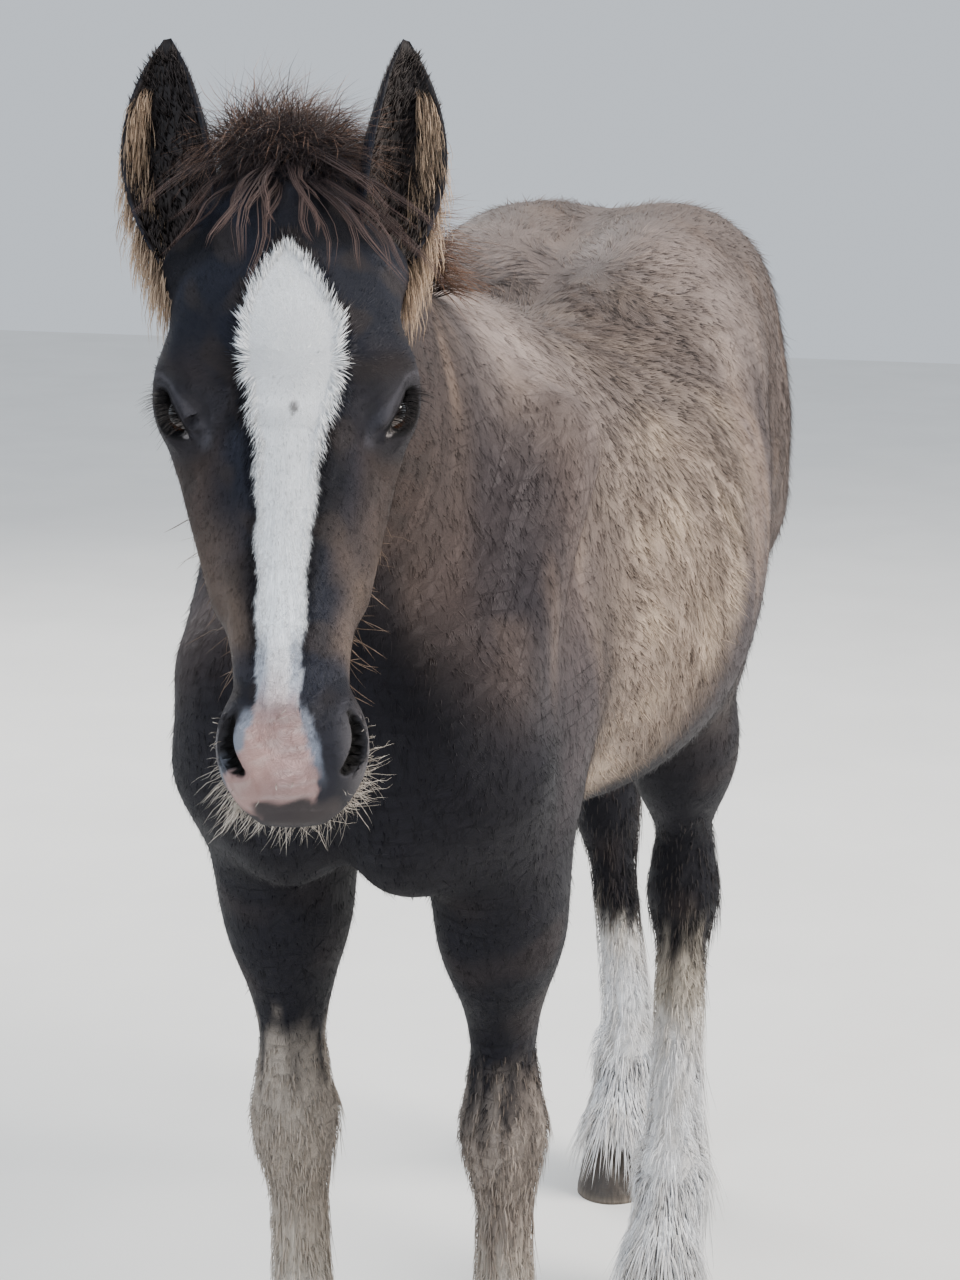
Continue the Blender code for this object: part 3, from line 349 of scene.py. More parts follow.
def head_forms(field):
    size = HEAD_LENGTH
    stations = (
        # along, face, jaw, widest, half width
        (0.005, -0.075, -0.17, 0.5, 0.055),
        (0.09, -0.020, -0.27, 0.6, 0.110),
        (0.20, 0.014, -0.38, 0.7, 0.150),
        (0.32, 0.018, -0.41, 0.7, 0.162),
        (0.45, 0.004, -0.375, 0.7, 0.152),
        (0.60, -0.012, -0.300, 0.6, 0.118),
        (0.74, -0.022, -0.245, 0.6, 0.088),
        (0.86, -0.030, -0.215, 0.6, 0.082),
        (0.94, -0.065, -0.190, 0.6, 0.064),
        (0.97, -0.10, -0.160, 0.6, 0.040),
    )
    scaled = [(a * size, f * size, j * size, w, h * size) for a, f, j, w, h in stations]
    field.loft((POLL, ALONG, OUT, ACROSS), scaled, power=2.3, melt=0.02)

    def egg(place, radii, melt=0.02):
        field.egg(on_head(*place), [r * size for r in radii], HEAD_AXES, melt)

    def limb(a, b, ra, rb, wide=1.0):
        field.limb(on_head(*a), on_head(*b), ra * size, rb * size, wide, ACROSS, 0.02)

    egg((0.20, -0.040, 0), (0.16, 0.06, 0.12))  # forehead
    egg((0.940, -0.118, 0), (0.038, 0.056, 0.058))  # upper lip
    egg((0.895, -0.195, 0), (0.045, 0.036, 0.046))  # lower lip
    egg((0.840, -0.222, 0), (0.048, 0.034, 0.040))  # chin
    limb((0.42, -0.050, 0), (0.82, -0.072, 0), 0.062, 0.044, wide=1.2)  # nasal bones
    for side in (1, -1):
        egg((0.350, -0.082, side * 0.136), (0.090, 0.060, 0.064))  # orbit
        limb((0.16, -0.07, side * 0.095), (0.32, -0.045, side * 0.135), 0.05, 0.045)  # brow
        egg((0.34, -0.270, side * 0.096), (0.155, 0.150, 0.064))  # cheek
        limb((0.44, -0.120, side * 0.124), (0.64, -0.125, side * 0.086), 0.036, 0.026)  # crest
        egg((0.872, -0.080, side * 0.068), (0.075, 0.056, 0.044), melt=0.012)  # nostril wing
        egg((0.912, -0.123, side * 0.050), (0.05, 0.054, 0.038), melt=0.015)  # lip
        axes = eye_axes(side)
        _, over, look = axes
        centre = eye_centre(side)
        before = centre + look * (EYE_RADIUS + LID + 0.015)
        field.egg(before, (0.036, 0.026, 0.016), axes, 0.012, carve=True)
        field.egg(centre, [EYE_RADIUS + LID] * 3, melt=0.006)
        lid = centre + over * 0.0125 + look * 0.0125
        field.egg(lid, (0.023, 0.0065, 0.010), axes, 0.008)  # upper lid
        lid = centre - over * 0.0120 + look * 0.0120
        field.egg(lid, (0.020, 0.0050, 0.009), axes, 0.008)  # lower lid
        root, up, _, _ = ear_frame(side)
        field.limb(root - up * 0.03 - ACROSS * side * 0.02, root, 0.036, 0.027, melt=0.025)


def trunk_forms(field):
    length = BUTTOCK - CHEST_FRONT

    def place(share):
        return CHEST_FRONT + share * length

    barrel, hip, chest = BARREL_WIDTH / 2, HIP_WIDTH / 2, CHEST_WIDTH / 2
    stations = (
        # place, back, belly, widest, half width
        (place(0.02), 0.93, 0.74, 0.4, 0.08),
        (place(0.10), 1.03, 0.68, 0.4, chest - 0.05),
        (place(0.20), WITHERS - 0.01, CHEST_FLOOR + 0.01, 0.42, chest - 0.032),
        (place(0.31), WITHERS - 0.004, CHEST_FLOOR, 0.44, chest + 0.006),
        (place(0.45), BACK, BELLY + 0.010, 0.46, barrel),
        (place(0.58), BACK + 0.016, BELLY + 0.025, 0.50, barrel + 0.002),
        (place(0.70), CROUP - 0.045, BELLY + 0.125, 0.54, hip + 0.01),
        (place(0.82), CROUP - 0.025, 0.80, 0.50, hip - 0.03),
        (place(0.93), CROUP - 0.090, 0.86, 0.50, 0.105),
        (place(0.99), CROUP - 0.160, 0.92, 0.50, 0.05),
    )
    field.loft(((0, 0, 0), (0, 1, 0), (0, 0, 1), (1, 0, 0)), stations, power=2.25, melt=0.05)
    field.egg((0, -0.425, 0.80), (0.10, 0.080, 0.11), melt=0.05)  # breast
    field.limb((0, -0.33, WITHERS - 0.06), (0, -0.16, WITHERS - 0.05), 0.05, 0.045, melt=0.05)
    for side in (1, -1):
        blade, shoulder = (side * 0.108, -0.27, 1.000), (side * 0.098, -0.42, 0.83)
        field.limb(blade, shoulder, 0.062, 0.060, melt=0.05)  # shoulder blade
        field.egg((side * 0.090, -0.425, 0.785), (0.055, 0.070, 0.085), melt=0.04)
        field.egg((side * 0.115, -0.29, 0.77), (0.050, 0.11, 0.11), melt=0.05)  # triceps
        field.egg((side * 0.050, -0.440, 0.725), (0.060, 0.060, 0.078), melt=0.03)  # pectoral
        field.egg((side * 0.080, 0.32, CROUP - 0.130), (0.105, 0.21, 0.118), melt=0.05)  # croup
        field.egg((side * 0.135, 0.20, 1.03), (0.055, 0.07, 0.05), melt=0.06)  # hip
        field.egg((side * 0.105, 0.40, 0.92), (0.088, 0.155, 0.155), melt=0.05)  # thigh
        seat, thigh = (side * 0.070, 0.530, 0.985), (side * 0.095, 0.485, 0.83)
        field.limb(seat, thigh, 0.062, 0.066, melt=0.05)  # buttock
    field.egg((0, 0.50, CROUP - 0.115), (0.05, 0.09, 0.06), melt=0.04)  # tail head


NECK_ROOT = Vector((0, -0.29, 0.935))
NECK_BEND = Vector((-0.004, -0.52, 1.09))
NECK_TOP = on_head(0.10, -0.17, 0)
NECK_FORMS = 8


def neck_line(share):
    """A point of the neck's middle line, and its directions ahead, up and across there."""
    left = 1 - share
    point = NECK_ROOT * left**2 + NECK_BEND * (2 * share * left) + NECK_TOP * share**2
    ahead = ((NECK_BEND - NECK_ROOT) * left + (NECK_TOP - NECK_BEND) * share).normalized()
    across = Vector((1, 0, 0)).lerp(ACROSS, share)
    across = (across - ahead * across.dot(ahead)).normalized()
    return point, ahead, ahead.cross(across), across


def neck_forms(field):
    for i in range(NECK_FORMS):
        share = i / (NECK_FORMS - 1)
        point, ahead, up, across = neck_line(share)
        depth = 0.190 + (0.092 - 0.190) * share**0.8
        width = 0.105 + (0.060 - 0.105) * share
        field.egg(point, (0.085, depth, width), (ahead, up, across), 0.05)


def fore_joints(side_name):
    """Elbow, knee, fetlock and coronet of a foreleg."""
    side = SIDES[side_name]
    x, y = FORE_FEET[side_name]
    elbow = Vector((side * 0.098, -0.30, 0.680))
    fetlock = Vector((x, y + 0.064, FETLOCK_HEIGHT))
    knee = Vector((x + 0.002 * side, y + 0.061, KNEE_HEIGHT))
    coronet = Vector((x, y + 0.020, CORONET_HEIGHT))
    return elbow, knee, fetlock, coronet


def foreleg_forms(field, side_name):
    side = SIDES[side_name]
    elbow, knee, fetlock, coronet = fore_joints(side_name)
    shoulder = Vector((side * 0.105, -0.415, 0.74))
    brachialis = Vector((side * 0.097, -0.335, 0.60))
    field.limb(shoulder, brachialis, 0.056, 0.046, melt=0.05)
    field.limb(elbow - BACKWARD * 0.02, knee + UP * 0.07, 0.070, 0.038, 0.80, melt=0.04)
    field.egg(elbow - UP * 0.06 - BACKWARD * 0.03, (0.046, 0.06, 0.10), melt=0.04)
    field.egg(elbow + BACKWARD * 0.045, (0.035, 0.045, 0.05), melt=0.04)  # point of elbow
    field.egg(knee + UP * 0.008, (0.041, 0.043, 0.060), melt=0.03)
    field.egg(knee + BACKWARD * 0.030 + UP * 0.012, (0.022, 0.024, 0.028), melt=0.02)
    field.limb(knee, fetlock + UP * 0.03, 0.031, 0.026, 0.95)  # cannon
    field.limb(knee + BACKWARD * 0.022, fetlock + BACKWARD * 0.018, 0.020, 0.018)  # tendons
    foot_forms(field, fetlock, coronet)


def foot_forms(field, fetlock, coronet):
    field.egg(fetlock, (0.035, 0.036, 0.036), melt=0.02)
    field.egg(fetlock + BACKWARD * 0.018 - UP * 0.008, (0.025, 0.024, 0.030), melt=0.02)
    field.limb(fetlock, coronet + UP * 0.01, 0.030, 0.035, melt=0.02)  # pastern
    field.limb(coronet + UP * 0.02, coronet - UP * 0.03, 0.036, 0.037, melt=0.01)


def hind_joints(side_name):
    """Hip, stifle, hock, fetlock and coronet of a hind leg."""
    side = SIDES[side_name]
    x, y = HIND_FEET[side_name]
    forward = 0.42 - y  # how far the foot stands in front of its usual place
    hip = Vector((side * 0.100, 0.36, 0.93))
    stifle = Vector((side * 0.118, 0.245 - 0.20 * forward, 0.735))
    hock = Vector((0.4 * side * 0.10 + 0.6 * x, y + 0.085 + 0.14 * forward, HOCK_HEIGHT))
    fetlock = Vector((x, y + 0.056, FETLOCK_HEIGHT + 0.005))
    coronet = Vector((x, y + 0.018, CORONET_HEIGHT))
    return hip, stifle, hock, fetlock, coronet


def hind_leg_forms(field, side_name):
    hip, stifle, hock, fetlock, coronet = hind_joints(side_name)
    field.egg(stifle, (0.055, 0.070, 0.085), melt=0.05)
    field.limb(hip, stifle, 0.095, 0.070, 0.85, melt=0.05)
    middle = stifle.lerp(hock, 0.42) + BACKWARD * 0.02
    field.limb(stifle + BACKWARD * 0.03, middle, 0.080, 0.058, 0.78, melt=0.05)  # gaskin
    seat = Vector((SIDES[side_name] * 0.095, 0.485, 0.85))
    field.limb(seat, middle + BACKWARD * 0.015, 0.070, 0.046, 0.80, melt=0.06)  # hamstring
    field.limb(middle, hock + UP * 0.05, 0.056, 0.034, 0.88, melt=0.04)
    point = hock + BACKWARD * 0.046 + UP * 0.045
    field.limb(middle + BACKWARD * 0.045, point, 0.024, 0.016)  # tendon above the hock
    field.limb(point, hock - UP * 0.03 + BACKWARD * 0.02, 0.019, 0.018, melt=0.02)
    field.egg(hock, (0.038, 0.046, 0.055), melt=0.03)
    field.limb(hock - UP * 0.02, fetlock + UP * 0.03, 0.034, 0.028, 0.92)  # cannon
    top = hock + BACKWARD * 0.025 - UP * 0.04
    field.limb(top, fetlock + BACKWARD * 0.02, 0.020, 0.018)  # tendons
    foot_forms(field, fetlock, coronet)


def flesh_field():
    field = Field()
    trunk_forms(field)
    neck_forms(field)
    for side_name in SIDES:
        foreleg_forms(field, side_name)
        hind_leg_forms(field, side_name)
    head_forms(field)
    return field


SHIFT = sum((Vector(c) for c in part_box("eye_left")), Vector()) / 2 - eye_centre(1)


# Where on the foal a point is, as shares from 0 to 1


NAPE, THROAT = on_head(0, -0.298, 0), on_head(0.36, -0.46, 0)
HEAD_END = np.array(ACROSS.cross(THROAT - NAPE).normalized())
NECK_END = np.array(Vector((0, 0.837, -0.547)).normalized())
NECK_END_PLACE = np.array((0, -0.33, WITHERS + 0.01))


class Place:
    """Shares of head, neck, trunk, barrel, rear, legs and hind legs at each point."""

    def __init__(self, points):
        x, y, z = points.T
        self.points = points
        self.along, self.out, self.across = head_place(points)
        self.head = ramp(0.025, -0.025, (points - np.array(NAPE)) @ HEAD_END) * ramp(-0.52, -0.43, self.out)
        behind_neck = ramp(-0.05, 0.05, (points - NECK_END_PLACE) @ NECK_END)
        self.neck = (1 - self.head) * (1 - behind_neck)
        self.trunk = (1 - self.head) * behind_neck
        self.barrel = self.trunk * ramp(-0.27, -0.08, y) * ramp(0.05, -0.04, y + 0.045 - 0.55 * (z - 0.74))
        self.rear = self.trunk * ramp(0.10, 0.30, y)
        self.leg = ramp(0.70, 0.58, z) * ramp(0.03, 0.075, np.abs(x) + 0.5 * (y > 0.35))
        self.hind = ramp(-0.05, 0.05, y)


# Colours, as linear light


# near black; its blue tint is painted sky sheen
BLACK = (0.0068, 0.0064, 0.0098)
# painted blue sky reflection: a sheen on the black hair of the face and ears
NAVY_SHEEN = (0.014, 0.015, 0.023)
CHEEK = (0.052, 0.036, 0.031)
MEALY = (0.17, 0.118, 0.088)
SHOULDER = (0.048, 0.038, 0.040)
# light streaks; on the neck and shoulder they are painted sheen on the muscle ridges
STREAK = (0.2, 0.14, 0.108)
RUMP = (0.140, 0.110, 0.098)
BARREL = (0.330, 0.252, 0.200)
GOLD = (0.53, 0.405, 0.305)
CREAM = (0.46, 0.405, 0.335)
WHITE = (0.88, 0.885, 0.9)
PINK = (0.47, 0.3, 0.275)
GREY_SKIN = (0.036, 0.034, 0.042)
RUST = (0.17, 0.085, 0.050)
WARM_BLACK = (0.035, 0.027, 0.025)
WING_GREY = (0.13, 0.12, 0.125)
BORDER_GREY = (0.30, 0.32, 0.38)
PALE_PINK = (0.62, 0.50, 0.47)
DARK_PINK = (0.36, 0.20, 0.18)
LIP = (0.070, 0.058, 0.058)
# painted shade inside the nostrils
NOSTRIL_SHADE = (0.006, 0.005, 0.005)

BLAZE_KEYS = (0.155, 0.185, 0.22, 0.27, 0.34, 0.42, 0.50, 0.61, 0.70, 0.76, 0.82, 0.86, 0.875)
BLAZE_RIGHT = (
    0.002, -0.030, -0.046, -0.062, -0.060, -0.049, -0.045, -0.048, -0.049, -0.049, -0.051, -0.062, -0.065,
)
BLAZE_LEFT = (0.006, 0.038, 0.058, 0.079, 0.073, 0.051, 0.038, 0.027, 0.019, 0.016, 0.009, 0.010, 0.010)
SNIP_KEYS = (0.70, 0.76, 0.80, 0.84, 0.87, 0.90, 0.93, 0.955, 0.972)
SNIP_RIGHT = (-0.049, -0.049, -0.050, -0.056, -0.072, -0.087, -0.097, -0.090, -0.045)
SNIP_LEFT = (0.019, 0.016, 0.010, 0.008, 0.015, 0.026, 0.034, 0.034, 0.020)


def between(keys, right, left, along, across, ragged):
    """How far inside a marking a point is, in head lengths."""
    low = np.interp(along, keys, right)
    high = np.interp(along, keys, left)
    ends = np.minimum(along - keys[0], keys[-1] - along)
    return np.minimum(np.minimum(across - low, high - across), ends) + ragged


def blaze_depth(place):
    """How far inside the blaze a point is, in head lengths."""
    rough = waves(place.points, 0.006, 21) * 0.0016 + waves(place.points, 0.02, 22) * 0.003
    return between(BLAZE_KEYS, BLAZE_RIGHT, BLAZE_LEFT, place.along, place.across, rough)


def head_colour(place):
    p, along, out, across = place.points, place.along, place.out, place.across
    aside = np.abs(across)
    # the face's black hair, patched with painted blue sky sheen
    colour = mixed(NAVY_SHEEN, BLACK, ramp(0.0, 0.6, waves(p, 0.05, 23)))
    colour = mixed(colour, CHEEK, ramp(0.075, 0.14, aside) * ramp(0.26, 0.42, along) * 0.95)
    colour = mixed(colour, CHEEK, ramp(-0.06, -0.20, out) * 0.8)
    colour = mixed(colour, WARM_BLACK, ramp(0.0, 0.8, waves(p, 0.022, 26)) * 0.6)
    band = ramp(0.50, 0.62, along) * ramp(0.82, 0.74, along) * ramp(0.045, 0.085, aside)
    colour = mixed(colour, MEALY, band * (0.30 + 0.25 * waves(p, 0.03, 24)))
    colour = mixed(colour, (0.026, 0.025, 0.031), ramp(0.044, 0.028, eye_distance(p)) * 0.8)
    colour = mixed(colour, GREY_SKIN, ramp(0.80, 0.875, along))
    wing = ramp(0.055, 0.085, aside) * ramp(0.80, 0.86, along) * ramp(0.96, 0.92, along)
    colour = mixed(colour, WING_GREY, wing * 0.6)
    colour = mixed(colour, BLACK, ramp(0.93, 0.96, along) * ramp(-0.06, -0.11, out) * 0.6)
    blaze = blaze_depth(place)
    front = ramp(-0.14, -0.09, out)
    rough = waves(p, 0.006, 27) * 0.0035 + waves(p, 0.018, 28) * 0.0045
    snip = between(SNIP_KEYS, SNIP_RIGHT, SNIP_LEFT, along, across, rough)
    border = ramp(0.70, 0.76, along) * np.maximum(
        ramp(-0.004, 0.003, blaze) * ramp(0.020, 0.010, blaze) * (along < 0.84),
        ramp(-0.020, -0.008, snip) * ramp(0.95, 0.89, along) * ramp(0.82, 0.84, along),
    )
    colour = mixed(colour, WHITE, ramp(-0.003, 0.003, blaze) * front)
    colour = mixed(colour, (0.66, 0.57, 0.56), ramp(0.008, 0.022, blaze) * ramp(0.70, 0.80, along) * 0.7)
    colour = mixed(colour, BORDER_GREY, border * front * 0.85)
    spot = np.hypot((along - 0.394) * 0.7, across - 0.009)
    colour = mixed(colour, CHEEK, ramp(0.010, 0.003, spot) * 0.8)
    pink = mixed(PINK, PALE_PINK, ramp(-0.2, 0.9, waves(p * (1, 1, 2), 0.010, 25)) * 0.4)
    pink = mixed(pink, DARK_PINK, ramp(0.3, 1.0, waves(p * (2, 2, 0.6), 0.007, 29)) * 0.35)
    gradual = ramp(0.775, 0.855, along + 0.010 * waves(p, 0.02, 20))
    colour = mixed(colour, pink, ramp(-0.003, 0.005, snip) * front * gradual)
    lip = ramp(0.950, 0.960, along + 0.006 * waves(p, 0.012, 30)) * ramp(0.072, 0.056, np.abs(across - 0.005))
    return mixed(colour, LIP, lip * front)


def trunk_colour(place):
    p = place.points
    x, y, z = p.T
    flat = p * (1.0, 1.0, 0.16)
    streaks = waves(flat, 0.045, 31) * 0.65 + waves(flat, 0.016, 32) * 0.35
    # dark and brown vertical bands: painted shade and light of the folds down the neck and shoulder
    colour = mixed(SHOULDER, (0.022, 0.019, 0.024), ramp(0.1, 0.8, waves(flat, 0.07, 33)))
    brown = ramp(0.0, 0.7, -waves(flat, 0.07, 33)) * ramp(0.78, 0.95, z)
    colour = mixed(colour, (0.090, 0.066, 0.060), brown)
    # painted sunlight: the shoulder is lighter towards the barrel and upwards, and STREAK adds painted sheen
    # on its muscle ridges, stronger towards the barrel
    near_barrel = 0.28 + 0.62 * ramp(-0.40, -0.24, y)
    light = ramp(-0.41, -0.20, y) * ramp(0.76, 0.94, z)
    colour = mixed(colour, (0.180, 0.140, 0.127), light * np.clip(0.58 + 0.70 * streaks, 0, 1))
    colour = mixed(colour, STREAK, ramp(-0.1, 1.0, streaks) * ramp(0.74, 0.90, z) * near_barrel)
    colour = colour * (1 - 0.42 * place.neck[:, None])
    # painted sheen streaks down the neck
    colour = mixed(colour, STREAK, ramp(0.25, 0.9, streaks) * place.neck * 0.40 * ramp(0.80, 0.92, z))
    # painted sheen on the top of the shoulder and withers
    crest = ramp(0.97, 1.10, z) * ramp(-0.42, -0.20, y)
    colour = mixed(colour, (0.36, 0.29, 0.26), crest * (0.75 + 0.35 * streaks))
    breast = ramp(-0.28, -0.40, y) * ramp(0.05, -0.05, z - 0.94 + 0.85 * np.abs(x))
    colour = mixed(colour, BLACK, np.maximum(breast, ramp(0.76, 0.66, z)) * 0.93)
    lower = ramp(1.10, 0.85, z)
    side = mixed(BARREL, GOLD, ramp(0.1, 0.9, waves(p, 0.045, 34) + ramp(0.80, 0.64, z) * 0.6) * 0.8)
    # darker streaks: painted shade between the tufts and along the ribs
    side = mixed(side, (0.15, 0.112, 0.090), ramp(0.1, 0.9, waves(p * (1, 1, 0.4), 0.028, 38)) * 0.5)
    side = mixed(RUMP, side, np.clip(lower + 0.25 * waves(p, 0.05, 35), 0, 1))
    colour = mixed(colour, side, place.barrel)
    rump = mixed(RUMP, (0.090, 0.070, 0.060), ramp(0.0, 0.8, waves(p, 0.06, 36)) * ramp(1.15, 1.05, z))
    flank = ramp(1.13, 0.98, z) * 0.85
    rump = mixed(rump, (0.088, 0.065, 0.057), flank)
    rump = mixed(rump, STREAK, ramp(0.3, 1.0, waves(p * (1, 1, 0.4), 0.03, 37)) * 0.35)
    colour = mixed(colour, rump, place.rear * (1 - place.barrel))
    thigh = place.rear * ramp(0.84, 0.74, z)
    inner = place.rear * ramp(0.085, 0.045, np.abs(x)) * ramp(0.95, 0.85, z)
    colour = mixed(colour, BLACK, np.maximum(thigh, inner) * 0.95)
    return colour


WHITE_STARTS = {
    # leg: the height of the first pale hairs, and where all are pale
    "fore_left": (0.470, 0.395),
    "fore_right": (0.505, 0.430),
    "hind_left": (0.425, 0.330),
    "hind_right": (0.350, 0.290),
}


def leg_colour(place):
    p = place.points
    z = p[:, 2]
    thin = waves(p * (1, 1, 0.2), 0.010, 41)
    colour = mixed(BLACK, CHEEK, ramp(0.2, 1.0, waves(p, 0.05, 42)) * 0.25)
    for leg, (high, low) in WHITE_STARTS.items():
        pair, side_name = leg.split("_")
        share = place.hind if pair == "hind" else 1 - place.hind
        share = share * ((p[:, 0] > (0.045 if pair == "hind" else 0.0)) == (side_name == "left"))
        level = z + thin * 0.030
        white = ramp(high, low, level) * share
        start, fade = (0.30, 0.16) if pair == "fore" else (0.36, 0.26)
        whitest = (0.76, 0.74, 0.71) if pair == "fore" else (0.86, 0.87, 0.90)
        pale = mixed(CREAM, whitest, ramp(start, fade, z) * (0.75 + 0.25 * thin))
        warm = 0.35 if leg == "fore_right" else 0.7
        # the darker vertical stripes in the tan are painted shade of the tendon grooves
        tan = mixed((0.215, 0.175, 0.150), (0.105, 0.080, 0.068), ramp(-0.3, 0.7, thin) * warm)
        brown = ramp(0.19, 0.34, z + 0.02 * thin) * ({"fore_left": 0.9, "fore_right": 0.62}.get(leg, 0.10))
        colour = mixed(colour, mixed(pale, tan, brown), white)
    return colour


def coat_colour(points):
    place = Place(points)
    colour = trunk_colour(place)
    colour = mixed(colour, head_colour(place), place.head)
    return mixed(colour, leg_colour(place), place.leg * (1 - place.head))


# How the coat grows


def lie_direction(place):
    """Where the hair points, before it is laid along the skin."""
    p = place.points
    x, y, z = p.T
    down = np.array((0, 0, -1.0))
    trunk = np.tile((0, 0.55, -1.0), (len(p), 1))
    trunk[:, 0] = np.sign(x) * 0.35 * ramp(0.95, 1.15, z)
    shoulder = ramp(-0.12, -0.30, y)[:, None]
    trunk = trunk * (1 - shoulder) + np.array((0, 0.15, -1.0)) * shoulder
    neck = np.tile((0, 0.55, -0.9), (len(p), 1))
    whorl = np.array(on_head(0.33, 0.0, 0.012))
    above = ramp(0.36, 0.30, place.along)[:, None]
    spread = unit(p - whorl)
    part = np.clip(place.across / 0.06, -1, 1) * ramp(0.75, 0.45, place.along) * 0.55
    face = np.array(ALONG) + np.array(OUT) * -0.15 + np.outer(part, np.array(ACROSS))
    face = face * (1 - above) + (spread * 1.2 + np.array(-ALONG) * 0.5) * above
    jaw = ramp(-0.10, -0.22, place.out)[:, None]
    face = face * (1 - jaw) + (np.array(ALONG) * 0.4 - np.array(OUT) * 0.9) * jaw
    leg = np.tile((0, 0.18, -1.0), (len(p), 1))
    lie = trunk * place.trunk[:, None] + neck * place.neck[:, None] + face * place.head[:, None]
    lie = lie * (1 - place.leg[:, None]) + leg * place.leg[:, None] + down * 1e-3
    swirl = np.stack([waves(p, 0.09, 51), waves(p, 0.09, 52), waves(p, 0.09, 53)], 1)
    shag = (0.30 * place.barrel + 0.30 * place.rear + 0.12)[:, None]
    return unit(lie) + swirl * shag


def eye_distance(points):
    return np.min([np.linalg.norm(points - np.array(eye_centre(s)), axis=1) for s in (1, -1)], axis=0)


HAIR_LENGTHS = {
    "face": 0.0048,
    "jaw": 0.004,  # what the jaw's hair is longer than the face's
    "least": 0.0012,  # at the lids and lips
    "neck": 0.014,
    "trunk": 0.015,
    "barrel": 0.010,  # what the barrel's hair is longer than the trunk's
    "rear": 0.006,
    "leg": 0.010,
    "knee": 0.010,  # what hair is longer from the knees down
}


def hair_length(place):
    long = HAIR_LENGTHS
    z = place.points[:, 2]
    face = long["face"] + long["jaw"] * ramp(-0.08, -0.25, place.out)
    face = face * ramp(0.99, 0.84, place.along) * ramp(0.012, 0.040, eye_distance(place.points))
    face = face + long["least"]
    trunk = long["trunk"] + long["barrel"] * place.barrel + long["rear"] * place.rear
    length = face * place.head + long["neck"] * place.neck + trunk * place.trunk
    leg = long["leg"] + long["knee"] * ramp(0.46, 0.36, z)
    return length * (1 - place.leg) + leg * place.leg


def coat_depth(points):
    """How far under the tips of the coat the skin lies: a share of the hair's length, and a little."""
    place = Place(points)
    length = hair_length(place)
    body, face = 0.0012 + 0.26 * length, 0.0002 + 0.12 * length
    return body * (1 - place.head) + place.head * face


# Meshes


def unique_pairs(pairs):
    """The different pairs of numbers, in either order, and which of them each pair is."""
    low, high = pairs.min(1).astype(np.int64), pairs.max(1).astype(np.int64)
    size = int(high.max()) + 1
    keys, index = np.unique(low * size + high, return_inverse=True)
    return np.stack([keys // size, keys % size], 1), index


def meshed(field, low, high, step):
    """Corners and triangles of the field's surface in a box, by marching through tetrahedra."""
    low, high = np.array(low, float), np.array(high, float)
    count = np.ceil((high - low) / step).astype(int) + 3
    axes = [low[i] + step * (np.arange(count[i]) - 1) for i in range(3)]
    grid = np.stack(np.meshgrid(*axes, indexing="ij"), -1).reshape(-1, 3)
    value = field(grid).reshape(count)
    edge = np.ones(count, bool)
    edge[1:-1, 1:-1, 1:-1] = False
    value[edge] = np.maximum(value[edge], step)
    flat = value.ravel()
    flat = np.where(np.abs(flat) < 1e-3 * step, 1e-3 * step, flat)
    inside = flat < 0
    corner = np.array(
        [(0, 0, 0), (1, 0, 0), (1, 1, 0), (0, 1, 0), (0, 0, 1), (1, 0, 1), (1, 1, 1), (0, 1, 1)]
    )
    strides = np.array([count[1] * count[2], count[2], 1])
    first = np.arange(flat.size).reshape(count)[:-1, :-1, :-1].ravel()
    cubes = first[:, None] + corner @ strides
    share = inside[cubes].sum(1)
    cubes = cubes[(share > 0) & (share < 8)]
    tetrahedra = np.concatenate(
        [cubes[:, [0, a, b, 6]] for a, b in ((5, 1), (1, 2), (2, 3), (3, 7), (7, 4), (4, 5))]
    )
    within = inside[tetrahedra].sum(1)
    crossed = (within > 0) & (within < 4)
    tetrahedra, within = tetrahedra[crossed], within[crossed]
    order = np.argsort(~inside[tetrahedra], axis=1, kind="stable")
    tetrahedra = np.take_along_axis(tetrahedra, order, 1)
    edges, hearts = [], []
    for number, faces in (
        (1, (((0, 1), (0, 2), (0, 3)),)),
        (3, (((0, 3), (1, 3), (2, 3)),)),
        (2, (((0, 2), (0, 3), (1, 3)), ((0, 2), (1, 3), (1, 2)))),
    ):
        chosen = tetrahedra[within == number]
        for face in faces:
            edges.append(chosen[:, np.array(face)])
            hearts.append(chosen[:, 0])
    edges, hearts = np.concatenate(edges), np.concatenate(hearts)
    pairs, index = unique_pairs(edges.reshape(-1, 2))
    a, b = flat[pairs[:, 0]], flat[pairs[:, 1]]
    t = np.clip(a / (a - b), 0.12, 0.88)[:, None]
    points = grid[pairs[:, 0]] * (1 - t) + grid[pairs[:, 1]] * t
    faces = index.reshape(-1, 3)
    p = points[faces]
    facing = np.einsum(
        "ij,ij->i", np.cross(p[:, 1] - p[:, 0], p[:, 2] - p[:, 0]), p[:, 0] - grid[hearts]
    )
    faces[facing < 0] = faces[facing < 0][:, ::-1]
    return points, faces


